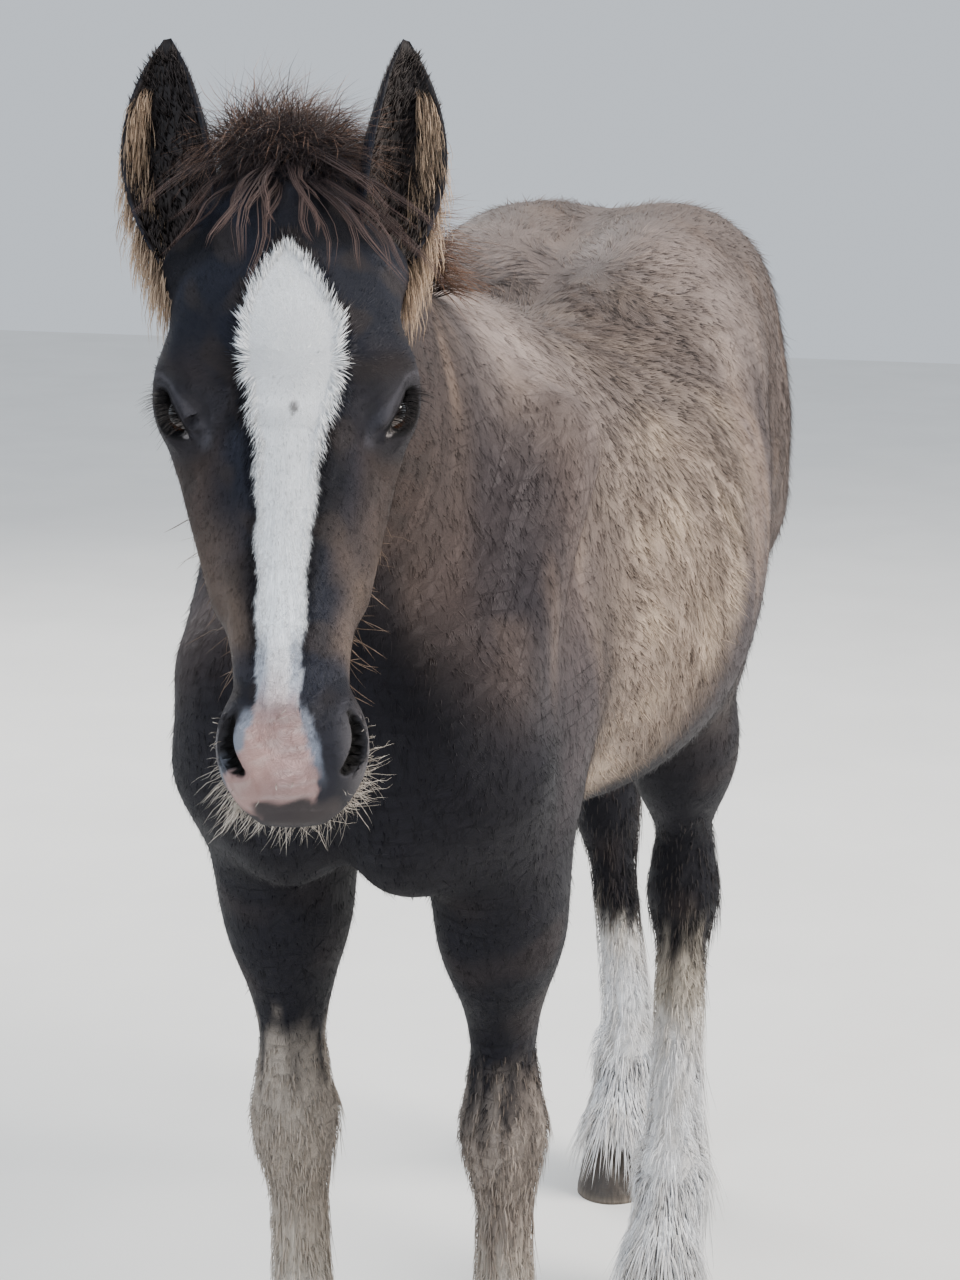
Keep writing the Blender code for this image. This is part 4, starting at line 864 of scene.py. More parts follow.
def refined(points, faces, chosen):
    """Splits the chosen triangles in four, and their neighbours to match."""
    pairs, index = unique_pairs(np.stack([faces, np.roll(faces, -1, 1)], -1).reshape(-1, 2))
    index = index.reshape(-1, 3)
    split = np.zeros(len(pairs), bool)
    split[index[chosen].ravel()] = True
    number = np.full(len(pairs), -1)
    number[split] = len(points) + np.arange(split.sum())
    middles = points[pairs[split]].mean(1)
    new = number[index]
    cut = (new >= 0).sum(1)
    found = [faces[cut == 0]]
    whole, m = faces[cut == 3], new[cut == 3]
    for i in range(3):
        found.append(np.stack([whole[:, i], m[:, i], m[:, i - 1]], 1))
    found.append(m)
    for i in range(3):
        # The edge from corner i to the next one is the only one cut, or the only one left whole
        one = (cut == 1) & (new[:, i] >= 0)
        f, n = np.roll(faces[one], -i, 1), new[one][:, i]
        found.append(np.stack([f[:, 0], n, f[:, 2]], 1))
        found.append(np.stack([n, f[:, 1], f[:, 2]], 1))
        two = (cut == 2) & (new[:, i] < 0)
        f, n = np.roll(faces[two], -i, 1), np.roll(new[two], -i, 1)
        found.append(np.stack([f[:, 0], f[:, 1], n[:, 1]], 1))
        found.append(np.stack([f[:, 0], n[:, 1], n[:, 2]], 1))
        found.append(np.stack([n[:, 1], f[:, 2], n[:, 2]], 1))
    return np.concatenate([points, middles]), np.concatenate(found)


def settled(field, points, rounds, chosen=None):
    """Moves points, or the chosen ones of them, onto the field's surface."""
    if chosen is not None:
        points = points.copy()
        points[chosen] = settled(field, points[chosen], rounds)
        return points
    for _ in range(rounds):
        value = field(points)
        sides = [field(points + way) - value for way in np.eye(3) * SETTLE_STEP]
        found = np.stack(sides, 1) / SETTLE_STEP
        growth = np.linalg.norm(found, axis=1)
        out = unit(found)
        move = value / np.maximum(growth, 0.3)
        points = points - out * np.clip(move, -SETTLE_MOST, SETTLE_MOST)[:, None]
    return points


def tube_faces(rings, around):
    """Quads between rings of points, and fans to the two points that close the ends."""
    quads, caps = [], []
    for level in range(rings - 1):
        for i in range(around):
            a, b = level * around + i, level * around + (i + 1) % around
            quads.append((a, a + around, b + around, b))
    last, end = (rings - 1) * around, rings * around
    for i in range(around):
        j = (i + 1) % around
        caps += [(i, j, end), (last + j, last + i, end + 1)]
    return [np.array(quads), np.array(caps)]


def mesh_object(name, points, faces, material, smooth=True):
    """A mesh that is moved to the frame's place. faces is an array, or a list of arrays."""
    groups = faces if isinstance(faces, list) else [faces]
    groups = [np.asarray(group) for group in groups]
    mesh = bpy.data.meshes.new(name)
    sizes = np.concatenate([np.full(len(group), group.shape[1]) for group in groups])
    corners = np.concatenate([group.ravel() for group in groups])
    mesh.vertices.add(len(points))
    mesh.vertices.foreach_set("co", (np.asarray(points) + np.array(SHIFT)).ravel())
    mesh.loops.add(len(corners))
    mesh.loops.foreach_set("vertex_index", corners)
    mesh.polygons.add(len(sizes))
    mesh.polygons.foreach_set("loop_start", np.concatenate([[0], np.cumsum(sizes)[:-1]]))
    mesh.polygons.foreach_set("loop_total", sizes)
    mesh.update(calc_edges=True)
    mesh.polygons.foreach_set("use_smooth", np.full(len(sizes), smooth))
    mesh.materials.append(material)
    obj = bpy.data.objects.new(name, mesh)
    bpy.context.scene.collection.objects.link(obj)
    return obj


def paint(obj, colour, name="coat"):
    attribute = obj.data.color_attributes.new(name, "FLOAT_COLOR", "POINT")
    values = np.ones((len(colour), 4), np.float32)
    values[:, :3] = colour
    attribute.data.foreach_set("color", values.ravel())


def vector_attribute(obj, name, values):
    attribute = obj.data.attributes.new(name, "FLOAT_VECTOR", "POINT")
    attribute.data.foreach_set("vector", np.asarray(values, np.float32).ravel())


def give(obj, slot, *nodes):
    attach(obj, "root")
    if nodes:
        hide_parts(*nodes)


# Materials


class Material:
    """A Principled surface and the nodes that feed it."""

    def __init__(self, name):
        self.material = bpy.data.materials.new(name)
        self.material.use_nodes = True
        self.nodes = self.material.node_tree.nodes
        self.links = self.material.node_tree.links
        self.shader = self.nodes["Principled BSDF"]

    def add(self, kind, **inputs):
        node = self.nodes.new(kind)
        for key, value in inputs.items():
            if hasattr(value, "is_output"):
                self.links.new(value, node.inputs[key])
            else:
                node.inputs[key].default_value = value
        return node

    def attribute(self, name):
        node = self.nodes.new("ShaderNodeAttribute")
        node.attribute_name = name
        return node

    def scaled(self, vector, scale):
        node = self.nodes.new("ShaderNodeVectorMath")
        node.operation = "MULTIPLY"
        self.links.new(vector, node.inputs[0])
        node.inputs[1].default_value = scale
        return node.outputs[0]

    def noise(self, vector, scale, detail=3.0, rough=0.55):
        return self.add("ShaderNodeTexNoise", Vector=vector, Scale=scale, Detail=detail, Roughness=rough)

    def spread(self, value, low, high):
        """Maps noise about its middle onto low to high."""
        node = self.add("ShaderNodeMapRange", Value=value)
        node.inputs["From Min"].default_value = 0.3
        node.inputs["From Max"].default_value = 0.7
        node.inputs["To Min"].default_value = low
        node.inputs["To Max"].default_value = high
        return node.outputs[0]

    def tinted(self, colour, gain):
        node = self.nodes.new("ShaderNodeVectorMath")
        node.operation = "SCALE"
        self.links.new(colour, node.inputs[0])
        self.links.new(gain, node.inputs["Scale"])
        return node.outputs[0]

    def finish(self, colour, rough, bump=None, bump_height=0.001, **settings):
        self.links.new(colour, self.shader.inputs["Base Color"])
        if hasattr(rough, "is_output"):
            self.links.new(rough, self.shader.inputs["Roughness"])
        else:
            self.shader.inputs["Roughness"].default_value = rough
        if bump is not None:
            node = self.add("ShaderNodeBump", Height=bump, Strength=1.0, Distance=bump_height)
            self.links.new(node.outputs[0], self.shader.inputs["Normal"])
        for name, value in settings.items():
            self.shader.inputs[name.replace("_", " ")].default_value = value
        return self.material


def skin_material():
    """Short flat hair: the markings, with streaks and a fine bump along the lie."""
    made = Material("skin")
    grain = made.attribute("grain").outputs["Vector"]
    fine = made.noise(grain, 520.0, 2.0).outputs[0]
    broad = made.noise(grain, 120.0, 3.0).outputs[0]
    colour = made.tinted(made.attribute("coat").outputs["Color"], made.spread(fine, 0.72, 1.25))
    colour = made.tinted(colour, made.spread(broad, 0.86, 1.12))
    rough = made.spread(broad, 0.50, 0.68)
    return made.finish(colour, rough, fine, 0.0009, Specular_IOR_Level=0.14)


def coat_material():
    """Tufts, whose own colours vary from root to tip and from one to the next."""
    made = Material("coat")
    place = made.nodes.new("ShaderNodeTexCoord").outputs["Object"]
    patches = made.noise(place, 60.0, 2.0).outputs[0]
    colour = made.tinted(made.attribute("coat").outputs["Color"], made.spread(patches, 0.86, 1.14))
    return made.finish(colour, made.spread(patches, 0.46, 0.62), Specular_IOR_Level=0.14)


def long_hair_material(name, rough):
    made = Material(name)
    place = made.nodes.new("ShaderNodeTexCoord").outputs["Object"]
    strands = made.noise(made.scaled(place, (1, 1, 0.12)), 400.0, 2.0).outputs[0]
    colour = made.tinted(made.attribute("coat").outputs["Color"], made.spread(strands, 0.8, 1.2))
    return made.finish(colour, made.spread(strands, rough - 0.08, rough + 0.08), Specular_IOR_Level=0.18)


def hoof_material():
    """Dark horn: rings of growth and fine upright grain, worn pale at the edge on the ground."""
    made = Material("hoof")
    place = made.nodes.new("ShaderNodeTexCoord").outputs["Object"]
    grain = made.noise(made.scaled(place, (1, 1, 0.05)), 260.0, 4.0).outputs[0]
    rings = made.noise(made.scaled(place, (0.12, 0.12, 1)), 150.0, 3.0).outputs[0]
    colour = made.tinted(made.attribute("coat").outputs["Color"], made.spread(grain, 0.7, 1.35))
    height = made.add("ShaderNodeMath")
    height.operation = "ADD"
    made.links.new(grain, height.inputs[0])
    made.links.new(rings, height.inputs[1])
    return made.finish(
        colour, made.spread(grain, 0.38, 0.60), height.outputs[0], 0.0012, Specular_IOR_Level=0.4
    )


def eye_material():
    made = Material("eye")
    colour = made.attribute("coat").outputs["Color"]
    return made.finish(colour, 0.10, Specular_IOR_Level=0.25, Coat_Weight=0.8, Coat_Roughness=0.02)


SKIN = skin_material()
COAT = coat_material()
HAIR = long_hair_material("long_hair", 0.48)
FEATHER = long_hair_material("feather", 0.58)
HOOF = hoof_material()
EYE = eye_material()


# The skin


def gaze(side):
    """Directions along the lids' slit towards the nose, over it, and out of the eye."""
    look = (ACROSS * side * 0.84 + OUT * 0.47 + ALONG * 0.10).normalized()
    slit = (ALONG * 0.86 + OUT * 0.36 - ACROSS * side * 0.30).normalized()
    slit = (slit - look * slit.dot(look)).normalized()
    return slit, slit.cross(look) * side, look


def nostril_slot(field, side):
    """The nostril's slit on the skin: a long comma, hooked in at its lower end."""
    down, aside, out = nostril_axes(side)
    place = on_head(0.874, -0.062, side * 0.0790) - out * 0.02
    starts = []
    for s in np.linspace(-1, 1, 8):
        bow = aside * (0.0030 - 0.0080 * s * s) * side
        starts.append(place + down * (0.0205 * s) + bow)
    return surfaced(field, starts, [out] * 8, 0.05, 25)


def nostril_axes(side):
    """Directions down the nostril's slit, across it and out of it."""
    down = (ALONG * 0.92 - OUT * 0.12 - ACROSS * side * 0.16).normalized()
    out = (ACROSS * side * 0.50 + OUT * 0.86).normalized()
    out = (out - down * out.dot(down)).normalized()
    return down, out.cross(down), out


def features(field):
    """What the skin adds: lids with their folds, nostrils and the line of the mouth."""
    for side in (1, -1):
        slit, over, look = axes = gaze(side)
        centre = eye_centre(side)
        field.egg(centre, [EYE_RADIUS + 0.0026] * 3, melt=0.004)
        upper, lower, crease = [], [], []
        for s in np.linspace(-1, 1, 9):
            lid = math.sqrt(1 - 0.86 * s * s)
            reach = EYE_RADIUS + 0.0016
            for line, height, rise in ((upper, 0.0094, 0.0), (lower, -0.0088, 0.0), (crease, 0.0170, 0.0012)):
                aside = slit * (0.0178 * s) + over * (height * lid)
                depth = math.sqrt(max((reach + rise) ** 2 - aside.length_squared, 1e-6))
                line.append(centre + aside + look * depth)
        field.limbs(upper, [0.0030] * 9, melt=0.002)
        field.limbs(lower, [0.0022] * 9, melt=0.002)
        field.limbs(crease, [0.0013] * 9, melt=0.002, carve=True)
        corner = centre + slit * 0.0215 + look * 0.0100
        field.egg(corner, (0.0055, 0.0040, 0.0050), axes, 0.003)
        before = centre + look * (EYE_RADIUS + 0.012)
        field.egg(before, (0.0242, 0.0100, 0.026), axes, 0.0010, carve=True)
        duct = centre + slit * 0.0205 + look * 0.0185
        field.egg(duct, (0.0060, 0.0022, 0.0075), axes, 0.0012, carve=True)
        _, aside, out = nostril_axes(side)
        slot = nostril_slot(field, side)
        rim = slot + np.array(aside) * 0.0085 * side - np.array(out) * 0.0015
        field.limbs(list(rim), [0.0030] * len(rim), melt=0.004)
        centres = slot + np.array(out) * 0.0040
        radii = [0.0036, 0.0052, 0.0062, 0.0068, 0.0070, 0.0068, 0.0060, 0.0044]
        field.limbs(list(centres), radii, 2.0, out, melt=0.002, carve=True)
    ways = []
    for t in np.linspace(-1, 1, 17):
        ways.append(ALONG * (1.0 - 0.9 * t * t) + ACROSS * t * 1.1 - OUT * (0.10 + 0.16 * t * t))
    line = surfaced(field, on_head(0.885, -0.145, 0), ways, 0.12, 24)
    field.limbs(list(line + unit(np.array(ways)) * 0.0010), [0.0026] * 17, melt=0.002, carve=True)


def skin_mesh():
    """The whole skin, finest round eyes, nostrils and mouth."""
    flesh = flesh_field()
    detailed = flesh_field()
    features(detailed)

    def ended(value, points):
        return np.maximum(value, SKIN_FLOOR - points[:, 2])

    def sunk(points):
        return ended(flesh(points) + coat_depth(points), points)

    def sunk_detailed(points):
        return ended(detailed(points) + coat_depth(points), points)

    points, faces = meshed(sunk, (-0.27, -0.88, 0.01), (0.27, 0.70, 1.32), SKIN_STEP)
    points = settled(sunk, points, 1)
    eyes = [np.array(eye_centre(s)) for s in (1, -1)]
    hearts = eyes + [np.array(on_head(0.885, -0.08, s * 0.08)) for s in (1, -1)]

    def nearest(middles, centres):
        return np.min([np.linalg.norm(middles - centre, axis=1) for centre in centres], axis=0)

    for level in range(4):
        middles = points[faces].mean(1)
        place = Place(middles)
        if level == 0:
            chosen = place.head > 0.3
        elif level == 1:
            chosen = place.head * ramp(-0.24, -0.16, place.out) > 0.6
        elif level == 2:
            lips = (place.along > 0.91) & (place.head > 0.5) & (place.out < -0.10)
            chosen = (nearest(middles, hearts) < 0.029) | lips
        else:
            chosen = nearest(middles, eyes) < 0.022
        points, faces = refined(points, faces, chosen)
        place = Place(points)
        moved = place.head > 0.2
        if level > 1:
            moved &= (nearest(points, hearts) < 0.060) | (place.along > 0.85)
        points = settled(sunk if level == 0 else sunk_detailed, points, 3 if level == 1 else 2, moved)
    return points, faces


def vertex_normals(points, faces):
    p = points[faces]
    normal = np.cross(p[:, 1] - p[:, 0], p[:, 2] - p[:, 0])
    total = np.zeros_like(points)
    for corner in range(3):
        np.add.at(total, faces[:, corner], normal)
    return unit(total)


def laid(lie, normals):
    """Directions along the skin."""
    return unit(lie - normals * (lie * normals).sum(1, keepdims=True))


FLESH_NODES = ("head", "neck", "chest", "barrel", "hindquarters")
LEG_NODES = tuple(
    f"{part}_{side}" for part in ("forearm", "foreleg", "gaskin", "hind_leg") for side in SIDES
)


def skin_tint(points, colour):
    """Paints shade deep inside the nostrils, darkens the lids' edge, paints a highlight with painted fold
    shade over the upper lids, and pales the eye's corner.
    """
    field = Field()
    head_forms(field)
    hollow = ramp(0.0010, 0.0032, -field(points))
    for side in (1, -1):
        deep = np.array(nostril_axes(side)[2])
        slot = nostril_slot(field, side)
        slot = np.concatenate([slot + (np.roll(slot, -1, 0) - slot) * t for t in (0, 0.25, 0.5, 0.75)])
        far = np.full(len(points), 1.0)
        for place in slot:
            q = points - place
            q = q - np.outer(q @ deep, deep) * 0.8
            far = np.minimum(far, np.linalg.norm(q, axis=1))
        # painted shade deep inside each nostril's slit
        colour = mixed(colour, NOSTRIL_SHADE, hollow * ramp(0.016, 0.011, far))
        slit, over, look = (np.array(v) for v in gaze(side))
        q = points - np.array(eye_centre(side))
        edge = np.hypot(q @ slit / 0.0200, q @ over / 0.0105)
        # a lighter band over the upper lid: a painted highlight, with painted shade in the folds across it
        folds = 0.6 + 0.4 * np.cos(edge * 11) + 0.2 * waves(points, 0.006, 43)
        lid = ramp(1.15, 1.35, edge) * ramp(2.3, 1.7, edge) * ramp(-0.004, 0.006, q @ over) * (q @ look > 0)
        colour = mixed(colour, (0.085, 0.080, 0.092), lid * np.clip(folds, 0, 1) * 0.75)
        colour = mixed(colour, (0.008, 0.007, 0.008), ramp(1.25, 1.05, edge) * (q @ look > 0))
        corner = np.linalg.norm(q - slit * 0.0192 - look * 0.0110, axis=1)
        colour = mixed(colour, (0.42, 0.38, 0.37), ramp(0.0046, 0.0028, corner) * 0.8)
    return colour


def make_skin():
    points, faces = skin_mesh()
    normals = vertex_normals(points, faces)
    skin = mesh_object("skin", points, faces, SKIN)
    colour = coat_colour(points)
    paint(skin, skin_tint(points, colour))
    lie = laid(lie_direction(Place(points)), normals)
    vector_attribute(skin, "grain", points - lie * (points * lie).sum(1, keepdims=True) * 0.9)
    give(skin, "coat", *FLESH_NODES, *LEG_NODES)
    p = points[faces]
    area = np.linalg.norm(np.cross(p[:, 1] - p[:, 0], p[:, 2] - p[:, 0]), axis=1) / 2
    return points, faces, normals, area, Place(p.mean(1))


# The coat: tufts in joined meshes


STRAND_THICKNESS = 0.5  # as a share of a strand's width
MAP_PATCH = 0.003  # the size of a strand's patch on the map


def strands(name, material, slot, paths, sides, widths, colours, roots_uv):
    """One piece of many tapered strips, three-sided, along their paths.

    paths is strand by point by axis, sides is each strand's way across at each point, and colours
    is strand by point by channel. Each strand's patch of the map lies at its root's place.
    """
    count, steps, _ = paths.shape
    ahead = unit(np.gradient(paths, axis=1))
    over = np.cross(ahead, sides)
    rings = steps - 1
    share = np.arange(rings) / rings
    half = (widths[:, None] / 2 * np.minimum(1, 0.75 + share)[None] * (1 - share[None] ** 2.5))[..., None]
    corners = [sides[:, :rings] * half, over[:, :rings] * half * STRAND_THICKNESS, -sides[:, :rings] * half]
    ring = np.stack([paths[:, :rings] + c for c in corners], 2)
    points = np.concatenate([ring.reshape(count, -1, 3), paths[:, -1:]], 1)
    each = rings * 3 + 1
    faces = [(0, 2, 1)]
    for level in range(rings - 1):
        for corner in range(3):
            a, b = level * 3 + corner, level * 3 + (corner + 1) % 3
            faces += [(a, b, b + 3), (a, b + 3, a + 3)]
    for corner in range(3):
        faces.append(((rings - 1) * 3 + corner, (rings - 1) * 3 + (corner + 1) % 3, each - 1))
    faces = np.array(faces)
    index = np.arange(count)[:, None, None] * each + faces[None]
    obj = mesh_object(name, points.reshape(-1, 3), index.reshape(-1, 3), material)
    tint = np.concatenate([np.repeat(colours[:, :rings], 3, axis=1), colours[:, -1:]], 1)
    paint(obj, tint.reshape(-1, 3))
    level = np.concatenate([np.repeat(share, 3), [1.0]]) - 0.5
    corner = np.concatenate([np.tile([-0.5, 0.0, 0.5], rings), [0.0]])
    uv = roots_uv[:, None, :] + MAP_PATCH * np.stack([corner, level], 1)[None]
    layer = obj.data.uv_layers.new(name="OFBake")
    flat = uv.reshape(-1, 2)[index.reshape(-1)]
    layer.data.foreach_set("uv", flat.astype(np.float32).ravel())
    give(obj, slot)


def unwrapped(points, middle, way, side):
    """Each point's turn round a line and its place along it, spread over the map."""
    way, side = np.array(way, float), np.array(side, float)
    q = points - np.array(middle)
    other = np.cross(way, side)
    turn = np.arctan2(q @ other, q @ side) / (2 * math.pi) + 0.5
    along = q @ way
    span = max(float(np.ptp(along)), 1e-6)
    return np.stack([0.01 + 0.98 * turn, 0.01 + 0.98 * (along - along.min()) / span], 1)


TUFTS = {
    # rings, spacing, width and lift as shares of the length, tufts in a clump, how far their tips
    # gather, and how light tips and roots are
    "face": (1, 0.0026, 0.16, 0.16, 5, 0.3, 1.10, 0.90),
    "jaw": (1, 0.0038, 0.12, 0.22, 7, 0.5, 1.25, 0.80),
    "neck": (1, 0.0038, 0.09, 0.06, 8, 0.5, 1.20, 0.90),
    "blaze": (2, 0.0012, 0.060, 0.20, 3, 0.1, 0.96, 0.95),
    "shoulder": (1, 0.0040, 0.09, 0.06, 9, 0.5, 1.20, 0.90),
    "barrel": (1, 0.0036, 0.070, 0.10, 12, 0.6, 1.20, 0.82),
    "rump": (1, 0.0043, 0.075, 0.10, 10, 0.5, 1.20, 0.80),
    "leg": (1, 0.0038, 0.10, 0.14, 8, 0.5, 1.25, 0.80),
}


def spread_roots(skin, chosen, spacing, random):
    """Roots over the chosen part of the skin, and the skin's normals there."""
    points, faces, normals, area, place = skin
    weight = area * chosen(place) / (spacing * spacing)
    count = int(weight.sum())
    picked = random.choice(len(faces), count, p=weight / weight.sum())
    a, b = random.random((2, count))
    turned = a + b > 1
    a[turned], b[turned] = 1 - a[turned], 1 - b[turned]
    mix = np.stack([1 - a - b, a, b], 1)[..., None]
    return (points[faces[picked]] * mix).sum(1), unit((normals[faces[picked]] * mix).sum(1))


def clumps(roots, each, random):
    """The roots that tufts gather round, and which of them is nearest to each root."""
    hearts = random.choice(len(roots), max(1, len(roots) // each), replace=False)
    tree = KDTree(len(hearts))
    for i, heart in enumerate(hearts):
        tree.insert(roots[heart], i)
    tree.balance()
    return hearts, np.array([tree.find(root)[1] for root in roots])


def grow(skin, name, style, chosen, seed, map_line, longer=None):
    """One piece of the coat, whose tufts gather in clumps. longer gives a factor for each place."""
    rings, spacing, width, lift, clump, pull, tips, base_gain = TUFTS[style]
    random = np.random.default_rng(seed)
    roots, normals = spread_roots(skin, chosen, spacing, random)
    place, count = Place(roots), len(roots)
    length = hair_length(place) * random.uniform(0.7, 1.2, count) * (longer(place) if longer else 1)
    lie = unit(laid(lie_direction(place), normals) + random.normal(size=(count, 3)) * 0.16)
    side = unit(np.cross(lie, normals))
    under = ramp(-0.2, -0.8, normals[:, 2])  # hair hangs close to the belly
    raise_by = lift * random.uniform(0.5, 1.4, count) * (1 - 0.75 * under)
    hearts, nearest = clumps(roots, clump, random)
    gather = (roots[hearts][nearest] - roots) * pull
    bright = random.uniform(0.82, 1.18, len(hearts))[nearest] * random.uniform(0.88, 1.12, count)
    shares = np.linspace(0, 1, rings + 1)
    paths = []
    for share in shares:
        up = raise_by * length * math.sin(share * math.pi * 0.75) - 0.0008 * (share == 0)
        step = lie * (length * share)[:, None] + normals * up[:, None]
        paths.append(roots + step + gather * share**1.5)
    base = coat_colour(roots) * bright[:, None]
    gain = base_gain + (tips - base_gain) * shares
    colours = np.clip(base[:, None, :] * gain[None, :, None], 0, 0.95)
    sides = np.repeat(side[:, None], rings + 1, 1)
    uv = unwrapped(roots, *map_line)
    strands(name, COAT, "coat", np.stack(paths, 1), sides, length * width, colours, uv)


TRUNK_LINE = ((0, 0, 0.86), BACKWARD, (1, 0, 0))
HEAD_LINE = (on_head(0, -0.18, 0), ALONG, OUT)
NECK_LINE = (NECK_ROOT, (NECK_TOP - NECK_ROOT).normalized(), (1, 0, 0))


def leg_line(x, y):
    return (x, y, 0), UP, BACKWARD


def make_coat(skin):
    nostrils = [np.array(on_head(0.880, -0.070, side * 0.082)) for side in (1, -1)]

    def face(place):
        far = np.min([np.linalg.norm(place.points - heart, axis=1) for heart in nostrils], axis=0)
        return place.head * (place.out > -0.13) * ramp(0.020, 0.030, far)

    def jaw(place):
        return place.head * (place.out <= -0.13)

    def blaze_edge(place):
        near = (np.abs(blaze_depth(place)) < 0.012) * (place.along < 0.76)
        return place.head * near * (place.out > -0.12)

    def forehead_longer(place):
        return 0.9 + 1.0 * ramp(0.55, 0.38, place.along)

    grow(skin, "coat_face", "face", face, 61, HEAD_LINE)
    grow(skin, "coat_jaw", "jaw", jaw, 62, HEAD_LINE)
    grow(skin, "coat_neck", "neck", lambda place: place.neck, 63, NECK_LINE)
    grow(skin, "coat_blaze", "blaze", blaze_edge, 60, HEAD_LINE, forehead_longer)

    parts = {
        "shoulder": lambda place: (1 - place.barrel) * (1 - place.rear) * place.trunk,
        "barrel": lambda place: place.barrel,
        "rump": lambda place: place.rear * (1 - place.barrel),
    }
    part_seeds = {"shoulder": -5, "barrel": 0, "rump": 10}
    for seed, side, name in ((65, 1, "left"), (66, -1, "right")):

        def on_side(place):
            return (1 - place.leg) * (side * place.points[:, 0] > 0)

        for part, share in parts.items():
            grow(
                skin, f"coat_{part}_{name}", part, lambda place: share(place) * on_side(place),
                seed + part_seeds[part], TRUNK_LINE, (lambda place: 1.1) if part == "barrel" else None,
            )
        for number, (pair, feet, low) in enumerate((("fore", FORE_FEET, 0.33), ("hind", HIND_FEET, 0.34))):

            def upper_leg(place):
                high = (place.points[:, 2] > low) * ((place.hind > 0.5) == (pair == "hind"))
                return place.leg * (1 - place.head) * high * (side * place.points[:, 0] > 0)

            line = leg_line(*feet[name])
            grow(skin, f"coat_{pair}_leg_{name}", "leg", upper_leg, seed + 20 + number, line)


# Long hair


def combed(field, roots, lies, lengths, lift, fall, steps, near, curl=0.0, seed=0, floor=0.004):
    """Paths that leave the skin at their roots, lean out by lift and bend down by fall at each step."""
    random = np.random.default_rng(seed)
    points, lies = np.array(roots, float), np.array(lies, float)
    stride = np.array(lengths, float)[:, None] / steps
    out, _ = slope(field, points)
    heading = laid(lies, out) + out * np.asarray(lift)[..., None]
    stray = random.normal(size=points.shape)
    sink = 0.001 + coat_depth(points)[:, None]
    paths, broad = [points - out * sink], [unit(np.cross(out, heading))]
    for step in range(steps):
        turned = np.roll(stray, step % 3, axis=1) * curl
        heading = unit(heading - np.array(UP) * fall + turned)
        points = points + heading * stride
        out, _ = slope(field, points)
        points = points + out * np.maximum(near - field(points), 0)[:, None]
        points[:, 2] = np.maximum(points[:, 2], floor)
        paths.append(points)
        side = unit(np.cross(out, heading))
        lost = np.linalg.norm(side, axis=1) < 0.5
        side[lost] = broad[-1][lost]
        broad.append(side)
    return np.stack(paths, 1), np.stack(broad, 1)


def shaded(root_colour, tip_colour, count, steps, random, spread):
    """Colours from root to tip for each strand, each a little lighter or darker than the next."""
    share = np.linspace(0, 1, steps)[None, :, None] ** 1.3
    root, tip = (np.asarray(colour)[..., None, :] for colour in (root_colour, tip_colour))
    colour = np.broadcast_to(root * (1 - share) + tip * share, (count, steps, 3))
    return np.clip(colour * random.uniform(1 - spread, 1 + spread, (count, 1, 1)), 0, 0.95)


def hair(piece, random, paths, sides, roots, map_line, ends, spread, widths):
    """A piece of strands shaded between two colours. widths is a range, or each strand's own."""
    count, steps, _ = paths.shape
    colours = shaded(*ends, count, steps, random, spread)
    if isinstance(widths, tuple):
        widths = random.uniform(*widths, count)
    strands(*piece, paths, sides, widths, colours, unwrapped(roots, *map_line))


def make_mane(field):
    """Bushy hair along the crest that tips over to the left."""
    random = np.random.default_rng(81)
    count = 2800
    share = random.uniform(0.26, 1.0, count)
    lean = random.uniform(-0.34, 0.34, count)
    spots = [neck_line(s) for s in share]
    starts, ahead = [s[0] for s in spots], np.array([s[1] for s in spots])
    across = np.array([s[3] for s in spots])
    roots = surfaced(field, starts, [s[2] + s[3] * k for s, k in zip(spots, lean)])
    lies = across * (0.85 + lean[:, None]) - ahead * 0.5 + np.array(UP) * 0.45
    lies += random.normal(size=(count, 3)) * 0.35
    longest = 0.55 + 0.45 * ramp(0.26, 0.5, share) - 0.25 * ramp(0.72, 0.86, share)
    lengths = random.uniform(0.05, 0.100, count) * longest
    lift = random.uniform(0.5, 1.2, count)
    paths, sides = combed(field, roots, lies, lengths, lift, 0.14, 5, 0.002, 0.10, 82)
    ends = (0.014, 0.010, 0.009), RUST
    piece = "mane", HAIR, "long_hair"
    hair(piece, random, paths, sides, roots, NECK_LINE, ends, 0.4, (0.0009, 0.0022))


def poll_roots(field, random, count, first, last):
    """Places on the poll between the ears, from behind it to before it."""
    heart = on_head(0.12, -0.14, 0)
    lean = random.uniform(-0.42, 0.42, count)
    turn = np.radians(random.uniform(first, last, count))
    ways = []
    for a, s in zip(turn, lean):
        ways.append(-ALONG * math.cos(a) + OUT * math.sin(a) + ACROSS * s)
    return surfaced(field, heart, ways), lean, turn


